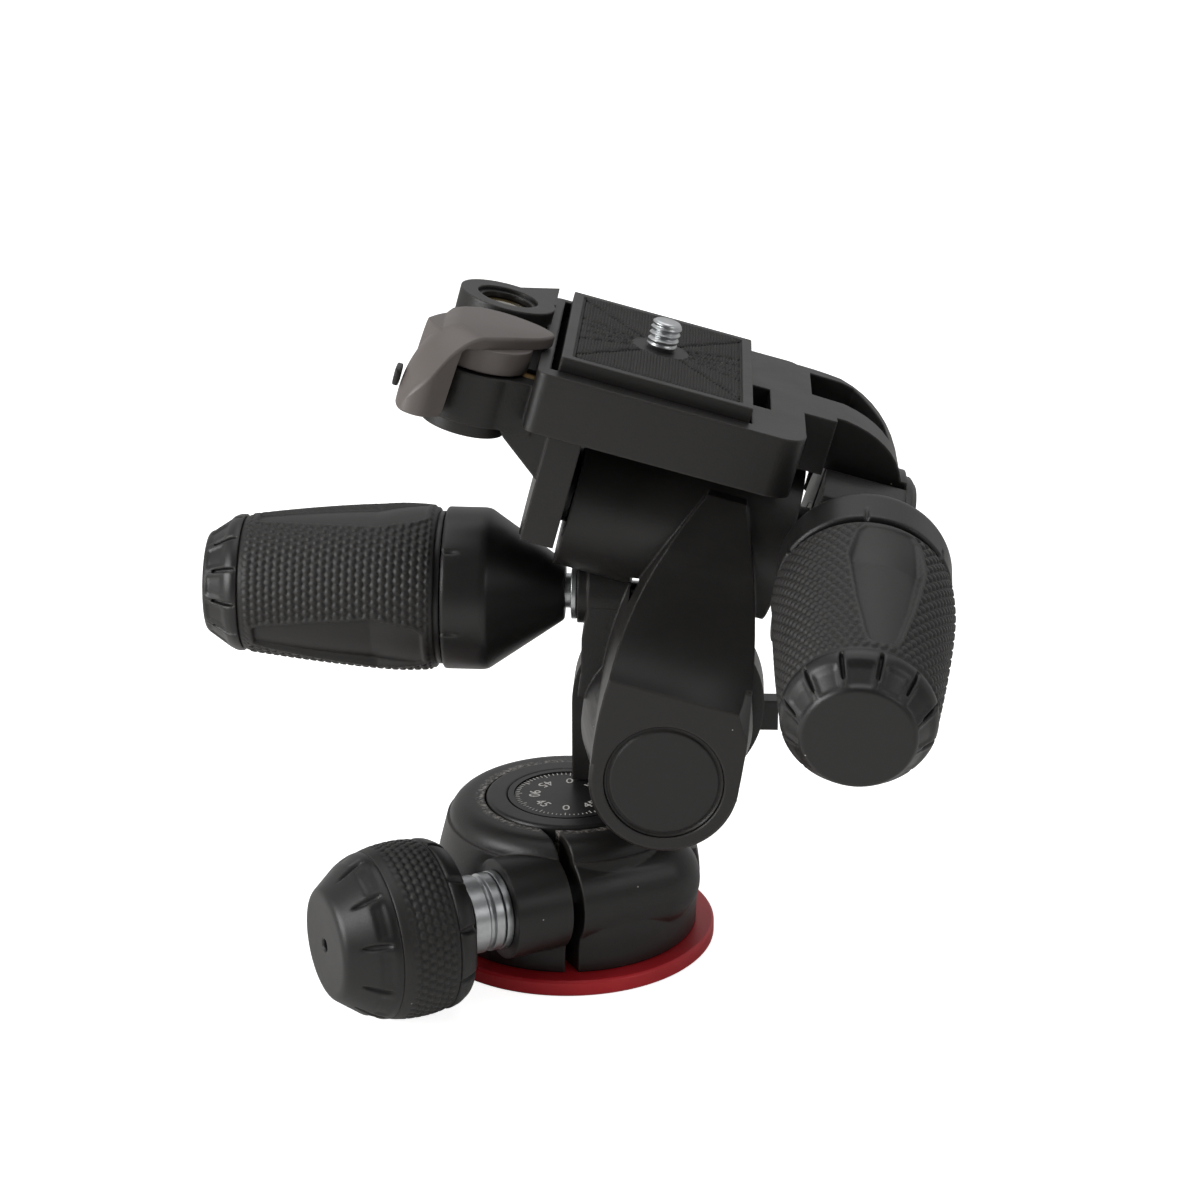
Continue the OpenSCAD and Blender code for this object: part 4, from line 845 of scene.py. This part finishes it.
def end_cap(handle, place):
    """The cap past the rubber: a short wall, then a chamfer that is slotted and scooped, then a flat face."""
    low, high, radius = reach(handle + "_end_cap", place)
    face = rim(handle + "_end_cap", place, high)
    path = rounded([(0, low), (radius - 0.1, low), (radius, low + 0.1), (radius, low + 1.3),
                    (radius - 0.6, low + 2.6), (face + 0.5, high - 0.5), (face, high), (0, high)],
                   0.6, spacing=0.25)
    sink = notch_sink(CAP_NOTCHES, low + 0.5, high - 2.2, width=0.55, depth=1.5, blunt=SLOT_BLUNT,
                      scoop=CAP_SCOOP, scoop_low=low + 2.4, scoop_high=high - 0.5)

    def outside(angle, r, h):
        return np.where(r > face - 0.2, sink(angle, r, h), 0)

    piece = turned(handle + "_grip_end", place, path, CAP_NOTCHES * COLUMNS_PER_NOTCH, outside)
    return finish_piece(piece, handle + "_grip", moulded_black, "moulded_black", handle + "_end_cap")


def cone_skin(handle, place):
    """The cone and its collar on a plain bore, with thin slits in the collar's outer edge."""
    low, high, radius = reach(handle + "_cone", place)
    shoulder = high - COLLAR_LONG
    path = rounded([(CONE_BORE_R, high), (CONE_BORE_R, low), (CONE_NECK_R, low),
                    (CONE_NECK_R + 0.5, low + 0.5), (radius - 0.3, shoulder - 0.3),
                    (radius - 0.1, shoulder + 0.4), (radius, shoulder + 1.2), (radius, high - 0.4),
                    (radius - 0.4, high), (CONE_BORE_R + 0.1, high)], 0.4, spacing=0.9)[:-1]

    def sink(angle, r, h):
        off = (angle * COLLAR_SLITS / (2 * math.pi) + 0.25) % 1 - 0.5
        side = np.abs(off) * 2 * math.pi / COLLAR_SLITS * radius
        slit = SLIT_DEPTH * smooth(1.6 - side / SLIT_WIDTH) * smooth((h - high + SLIT_LONG) / SLIT_END)
        return np.where(r > radius - 1, slit, 0)

    piece = turned(handle + "_cone_skin", place, path, COLLAR_SLITS * COLUMNS_PER_SLIT, sink, wrap=True)
    return finish_piece(piece, handle + "_handle", moulded_black, "moulded_black", handle + "_cone")


for handle in ("lateral", "front"):
    handle_place = place_on(handle + "_handle_turn", UP)
    grip_skin(handle, handle_place)
    end_cap(handle, handle_place)
    cone_skin(handle, handle_place)
    eased(handle + "_washer", EDGE_WASHER, zinc, steps=3)
    dressed(handle + "_screw", zinc)
    dressed(handle + "_rod", turned_aluminium)
    dressed(handle + "_grip_core", moulded_black)

# ---- Platform: hangs over the barrel on the front axle and takes the camera plate ----
# One moulding of filled nylon: the table with its pocket, the cheek and the split hub on either side of the
# barrel, and the wing with the lock and the level. Caps close both ends of the axle.
EDGE_AXLE_CAP = 0.4
EDGE_CHEEK_CAP = 0.25

eased("platform", EDGE_FRAME, frame_black, steps=3)
eased("axle_cap", EDGE_AXLE_CAP, moulded_black, steps=3)
eased("cheek_cap", EDGE_CHEEK_CAP, moulded_black)
for node in ("front_bush", "cheek_bush"):
    dressed(node, liner_acetal)
eased("front_nut", EDGE_STEEL, zinc)

# ---- Bubble level: a round vial of tinted spirit in the wing ----
# An acrylic vial with a domed top over tan spirit, held by a ring that is pressed into its boss.
EDGE_RING = 0.15


def tinted_spirit():
    """Spirit in clear acrylic: tan with age, wet looking, and lit from within as it passes light."""
    made, tree, shader, where = new_material("tinted_spirit")
    cloud = add(tree, "TexNoise", {"Vector": where, "Scale": 200, "Detail": 2})
    tone = add(tree, "Mix", {0: cloud.outputs["Fac"], 6: colour("6d5c33"), 7: colour("84713f")},
               data_type="RGBA")
    give(tree, shader, Base_Color=tone.outputs[2], Roughness=0.12, Transmission_Weight=0.45, IOR=1.45,
         Coat_Weight=1.0, Coat_Roughness=0.04)
    return made


dressed("level_vial", tinted_spirit())
eased("level_ring", EDGE_RING, moulded_black)

# ---- Camera plate: slides off with the camera ----
# A moulded plate with a rubber pad in its top, cut by grooves that run out from the screw. The screw is zinc
# plated steel with the camera's quarter inch thread.
PAD_PIP = 1.3
PAD_PIP_HEIGHT = 0.55
PAD_SAMPLES = 8
PAD_CORNER = 1.6
PAD_GAP = 0.45
PAD_SIDE = 0.5
PAD_EDGE = 0.6
PAD_EDGE_FALL = 0.25
PAD_CREASE_DEG = 50
GROOVE_WIDTH = 1.0
GROOVE_DEPTH = 0.35
GROOVE_FROM = 6
PLAIN_R = 5.5
PLAIN_EDGE = 1.5
PAD_RAYS = [8, 24, 52, 128, 158, 172, 190, 208, 232, 308, 334, 350]
CAMERA_SCREW_R = 3.175
SCREW_NECK_IN = 0.35
SCREW_HEAD_THICK = 1.5
THREAD_LONG = 5.1
THREAD_PITCH = 1.27
THREAD_DEPTH = 0.5
THREAD_STEPS = 14
EDGE_PLATE = 0.5
PLATFORM_AXES = np.stack([LEAN_AXIS, (0, 1, 0), UP])
CAMERA_SCREW = place_on("camera_screw_turn", LEAN_AXIS)


def platform_box(node):
    """Lowest and highest corner of a CAD piece along the platform's own axes, in millimetres."""
    points = corners_of(node) @ PLATFORM_AXES.T
    return points.min(0), points.max(0)


def pad_height(x, y, screw):
    """The pad's top: pips in straight rows, the product of a cosine each way, with grooves along rays from
    the screw and a plain ring round it."""
    rows = np.clip(np.cos(2 * math.pi * x / PAD_PIP) * np.cos(2 * math.pi * y / PAD_PIP), 0, 1) ** 0.6
    away_x, away_y = x - screw[0], y - screw[1]
    nearest = np.full_like(x, np.inf)
    for ray in np.radians(PAD_RAYS):
        along = away_x * math.cos(ray) + away_y * math.sin(ray)
        across = np.abs(away_x * math.sin(ray) - away_y * math.cos(ray))
        nearest = np.where(along > GROOVE_FROM, np.minimum(nearest, across), nearest)
    groove = smooth(1.5 - nearest / (GROOVE_WIDTH / 2))
    outside_plain = smooth((np.hypot(away_x, away_y) - PLAIN_R) / PLAIN_EDGE)
    return PAD_PIP_HEIGHT * (rows * outside_plain * (1 - groove) - 1) - GROOVE_DEPTH * groove


def pad_skin():
    """A thin slab with a gap left and right of it: a grid over the top, whose outer rings turn down the
    sides. Its corners are pulled in from squares to quarter circles."""
    low, high = platform_box("plate_pad")
    middle, half = (low + high) / 2, (high - low) / 2
    half[0] -= PAD_GAP
    across = [round(2 * h / PAD_PIP * PAD_SAMPLES) for h in half[:2]]
    x, y = (np.linspace(-h, h, n + 1) for h, n in zip(half[:2], across))
    x, y = (np.concatenate([[a[0], a[0]], a, [a[-1], a[-1]]]) for a in (x, y))
    grid_x, grid_y = np.meshgrid(x, y, indexing="ij")
    past_x = np.maximum(np.abs(grid_x) - (half[0] - PAD_CORNER), 0)
    past_y = np.maximum(np.abs(grid_y) - (half[1] - PAD_CORNER), 0)
    pull = np.where((past_x > 0) & (past_y > 0),
                    np.maximum(past_x, past_y) / np.maximum(np.hypot(past_x, past_y), 1e-9), 1)
    edge = np.minimum(half[0] - np.abs(grid_x), half[1] - np.abs(grid_y))
    grid_x = np.sign(grid_x) * (np.abs(grid_x) - past_x * (1 - pull))
    grid_y = np.sign(grid_y) * (np.abs(grid_y) - past_y * (1 - pull))
    screw = PLATFORM_AXES @ CAMERA_SCREW[0]
    top = high[2] + pad_height(grid_x + middle[0], grid_y + middle[1], screw)
    top = top - PAD_EDGE_FALL * (1 - smooth(edge / PAD_EDGE))
    row, column = np.indices(grid_x.shape)
    last_row, last_column = grid_x.shape[0] - 1, grid_x.shape[1] - 1
    ring = np.minimum(np.minimum(row, last_row - row), np.minimum(column, last_column - column))
    top = np.where(ring == 0, low[2], np.where(ring == 1, high[2] - PAD_SIDE, top))
    points = np.stack([grid_x + middle[0], grid_y + middle[1], top], -1).reshape(-1, 3) @ PLATFORM_AXES
    index = np.arange(grid_x.size).reshape(grid_x.shape)
    quads = np.stack([index[:-1, :-1], index[1:, :-1], index[1:, 1:], index[:-1, 1:]], -1)
    border = np.concatenate([index[0, :-1], index[:-1, -1], index[-1, :0:-1], index[:0:-1, 0]])
    mesh = bpy.data.meshes.new("pad_skin")
    mesh.from_pydata((points * MM).tolist(), [], quads.reshape(-1, 4).tolist() + [border.tolist()])
    mesh.shade_smooth()
    mesh.set_sharp_from_angle(angle=math.radians(PAD_CREASE_DEG))
    return finish_piece(new_object("pad_skin", mesh), "platform", rubber_black, "rubber_black", "plate_pad")


def threaded_screw():
    """The camera screw: a flat head under the plate, a plain neck, then the thread up to a bevelled end."""
    low, high, head = reach("camera_screw", CAMERA_SCREW)
    radius, neck = CAMERA_SCREW_R, CAMERA_SCREW_R - SCREW_NECK_IN
    under, thread_low = low + SCREW_HEAD_THICK, high - THREAD_LONG
    foot = [(0, low), (head, low), (head, under), (neck, under), (neck, thread_low)]
    shank = [(radius, h) for h in np.arange(thread_low, high - 0.7, THREAD_PITCH / THREAD_STEPS)]
    bevel = [(radius - 0.15, high - 0.45), (radius - 0.6, high - 0.1), (radius - 0.8, high), (0, high)]
    deep = thread_sink(THREAD_PITCH, THREAD_DEPTH, thread_low, high - 0.1)

    def sink(angle, r, h):
        cut = deep(angle, r, h) * np.minimum(r / radius, 1)
        return np.where((r <= radius + 1e-6) & (r > 0.5 * radius), cut, 0)

    piece = turned("threaded_camera_screw", CAMERA_SCREW, np.array(foot + shank + bevel), sink=sink)
    return finish_piece(piece, "camera_screw", zinc, "zinc", "camera_screw")


eased("plate_body", EDGE_PLATE, frame_black, steps=3)
pad_skin()
threaded_screw()
dressed("screw_loop", zinc)

# ---- Plate lock: the lever, its cam and tongue, and the safety catch ----
# The lever is moulded in warm grey ABS: a crowned tongue by the plate that runs down at the left into a pad
# for the thumb. It turns a brass cam that pushes the lock's tongue against the plate.
LEVER_OUTLINE = [(13.5, 5.6), (11.6, 8.9), (7.6, 11.2), (2, 12.4), (-4, 11), (-8.6, 6.4), (-11.6, 0),
                 (-13.3, -7), (-13.5, -12.5), (-12.0, -16.8), (-8.2, -17.6), (-4.6, -14.6), (0.6, -10),
                 (6, -4.6), (11, 0.4)]
OUTLINE_STEPS = 40
LEVER_MIDDLE = (-2.5, -2.5)
LEVER_COLUMNS = 288
LEVER_THICK = 3.0
LEVER_THINNEST = 0.35
LEVER_CROWN = 0.5
TOP_EDGE = 0.7
UNDER_EDGE = 0.4
LEFT_TURN = 6
LEFT_LIMITS = (-8.5, -4)
LEFT_FOOT = -16.5
THUMB_WIDTHS = [(-16, -6, 2, 9), (9.5, 8.5, 5.5, 2.0)]
THUMB_DROPS = [(-18, -4, 1, 7), (14.2, 13.8, 8.6, 1.2)]
THUMB_R = 12.2
THUMB_RIGHT = -3.2
THUMB_BACK = 2
THUMB_EDGE = 1.2
THUMB_BACK_EDGE = 4
FRONT_WAY = (-0.65, -0.76)
FRONT_START = 7
FRONT_RUN = 11.7
FRONT_DROP = 9
FRONT_MOST = 1.4
WING_R = 11.6
WING_EDGE = 1.6
WING_DROP = 1.4
OFF_WING_DROP = 13.2
DISC_R = 10.0
DISC_TOP = 2.8
DISC_FOOT = 7.65
CATCH_START = 2.5
CATCH_THICK = 1.35
CATCH_LONG = 5.0
CATCH_TALL = 3.8
CATCH_POWER = 0.4

lever_grey = plain_finish("grey_abs", "5f5855", "66605d", 0.42, 0.5, 0.015)
LEVER = (place_on("lever_swing", LEAN_AXIS)[0], LEAN_AXIS, np.array((0, 1.0, 0)), UP)


def closed_curve(points, steps):
    """A smooth closed curve through the points: cubic stretches whose slopes follow their neighbours."""
    points = np.array(points, float)
    share = np.linspace(0, 1, steps, endpoint=False)[:, None]
    before, after, further = np.roll(points, 1, 0), np.roll(points, -1, 0), np.roll(points, -2, 0)
    out = []
    for a, b, c, d in zip(before, points, after, further):
        bend = (2 * a - 5 * b + 4 * c - d) + share * (3 * (b - c) + d - a)
        out.append(b + 0.5 * share * ((c - a) + share * bend))
    return np.vstack(out)


def lever_skin():
    """Two sheets over the lever's outline that meet in a wall, each turned in at its edge by a quarter
    circle. The top is crowned by a square. It falls to its left edge as a quarter ellipse and to its front
    by a square, the two joined as the cube root of their cubes' sum, and over the wing it falls by little.
    The underside is level over the wing and drops to the pad's foot outside it."""
    low, high, _ = reach("lever", LEVER)
    curve = closed_curve(LEVER_OUTLINE, OUTLINE_STEPS)
    middle = np.array(LEVER_MIDDLE)
    spoke = curve - middle
    turn = np.unwrap(np.arctan2(spoke[:, 1], spoke[:, 0]))
    angle = turn[0] + np.linspace(0, 2 * math.pi, LEVER_COLUMNS, endpoint=False)
    length = np.interp(angle, np.append(turn, turn[0] + 2 * math.pi),
                       np.append(np.hypot(*spoke.T), np.hypot(*spoke[0])))
    # the sheets' rings, even over nine tenths of the way out and then ever closer
    share = np.concatenate([np.linspace(0, 0.9, 60), 1 - 0.1 * np.linspace(1, 0, 28)[1:] ** 2])[:, None]
    x = middle[0] + share * length * np.cos(angle)
    y = middle[1] + share * length * np.sin(angle)
    from_pivot = np.hypot(x, y)

    def turned_in(radius):
        inward = (1 - share) * length
        return radius * (1 - np.sqrt(1 - np.clip(1 - inward / radius, 0, 1) ** 2))

    left = curve[(curve[:, 0] < np.where(curve[:, 1] < LEFT_TURN, *LEFT_LIMITS)) & (curve[:, 1] > LEFT_FOOT)]
    left = left[np.argsort(left[:, 1])]
    from_left = (x - np.interp(y, left[:, 1], left[:, 0])) / np.interp(y, *THUMB_WIDTHS)
    left_fall = np.interp(y, *THUMB_DROPS) * (1 - np.sqrt(1 - np.clip(1 - from_left, 0, 1) ** 2))
    to_front = (FRONT_WAY[0] * x + FRONT_WAY[1] * y - FRONT_START) / FRONT_RUN
    front_fall = FRONT_DROP * np.clip(to_front, 0, FRONT_MOST) ** 2
    over_wing = WING_DROP + OFF_WING_DROP * smooth((from_pivot - WING_R) / WING_EDGE)
    fall = np.minimum((left_fall**3 + front_fall**3) ** (1 / 3), over_wing)
    top = high - LEVER_CROWN * share**2 - fall - turned_in(TOP_EDGE)

    level = high - LEVER_THICK
    outside = (smooth((from_pivot - THUMB_R) / THUMB_EDGE) * smooth((THUMB_RIGHT - x) / THUMB_EDGE)
               * smooth((THUMB_BACK - y) / THUMB_BACK_EDGE))
    under = level + (low - level) * outside + turned_in(UNDER_EDGE)
    under = np.minimum(under, top - LEVER_THINNEST)

    wall = np.linspace(0, 1, 18)[1:-1, None]
    wall_z = under[-1] + wall * (top[-1] - under[-1])
    x = np.vstack([x, x[-1] + 0 * wall, x[::-1]])
    y = np.vstack([y, y[-1] + 0 * wall, y[::-1]])
    z = np.vstack([under, wall_z, top[::-1]])
    rows = LEVER[0] + x[..., None] * LEVER[1] + y[..., None] * LEVER[2] + z[..., None] * LEVER[3]
    piece = skin("lever_skin", rows)
    return finish_piece(piece, "lever", lever_grey, "lever_grey", "lever")


def lever_disc():
    """The round foot of the lever, that turns on the wing."""
    _, high, _ = reach("lever", LEVER)
    foot, top = high - DISC_FOOT, high - DISC_TOP
    path = rounded([(0, foot), (DISC_R, foot), (DISC_R, top), (0, top)], 0.4, spacing=1)
    piece = turned("lever_disc", LEVER, path)
    return finish_piece(piece, "lever", lever_grey, "lever_grey")


def squared(wave):
    """A sine or a cosine raised to a power below one with its sign kept, which squares up what it draws."""
    return np.sign(wave) * np.abs(wave) ** CATCH_POWER


def catch_button():
    """The end of the catch that a finger presses: a ball squared up to a small block beside the thumb pad. It
    is shorter than the solid bar that it stands for."""
    axes = np.stack(LEVER[1:])
    low = ((corners_of("safety_catch") - LEVER[0]) @ axes.T).min(0)
    low[1] += CATCH_START
    high = low + (CATCH_THICK, CATCH_LONG, CATCH_TALL)
    around = np.linspace(0, 2 * math.pi, 48, endpoint=False)
    level = np.linspace(-math.pi / 2, math.pi / 2, 25)[:, None]
    out = squared(np.cos(level))
    ball = np.stack([out * squared(np.cos(around)), out * squared(np.sin(around)),
                     squared(np.sin(level)) + 0 * around], -1)
    piece = skin("catch_button", LEVER[0] + ((low + high) / 2 + ball * (high - low) / 2) @ axes)
    return finish_piece(piece, "catch", moulded_black, "moulded_black", "safety_catch")


lever_skin()
lever_disc()
dressed("lever_pin", zinc)
dressed("lever_cam", brass)
dressed("lock_tongue", brass)
catch_button()
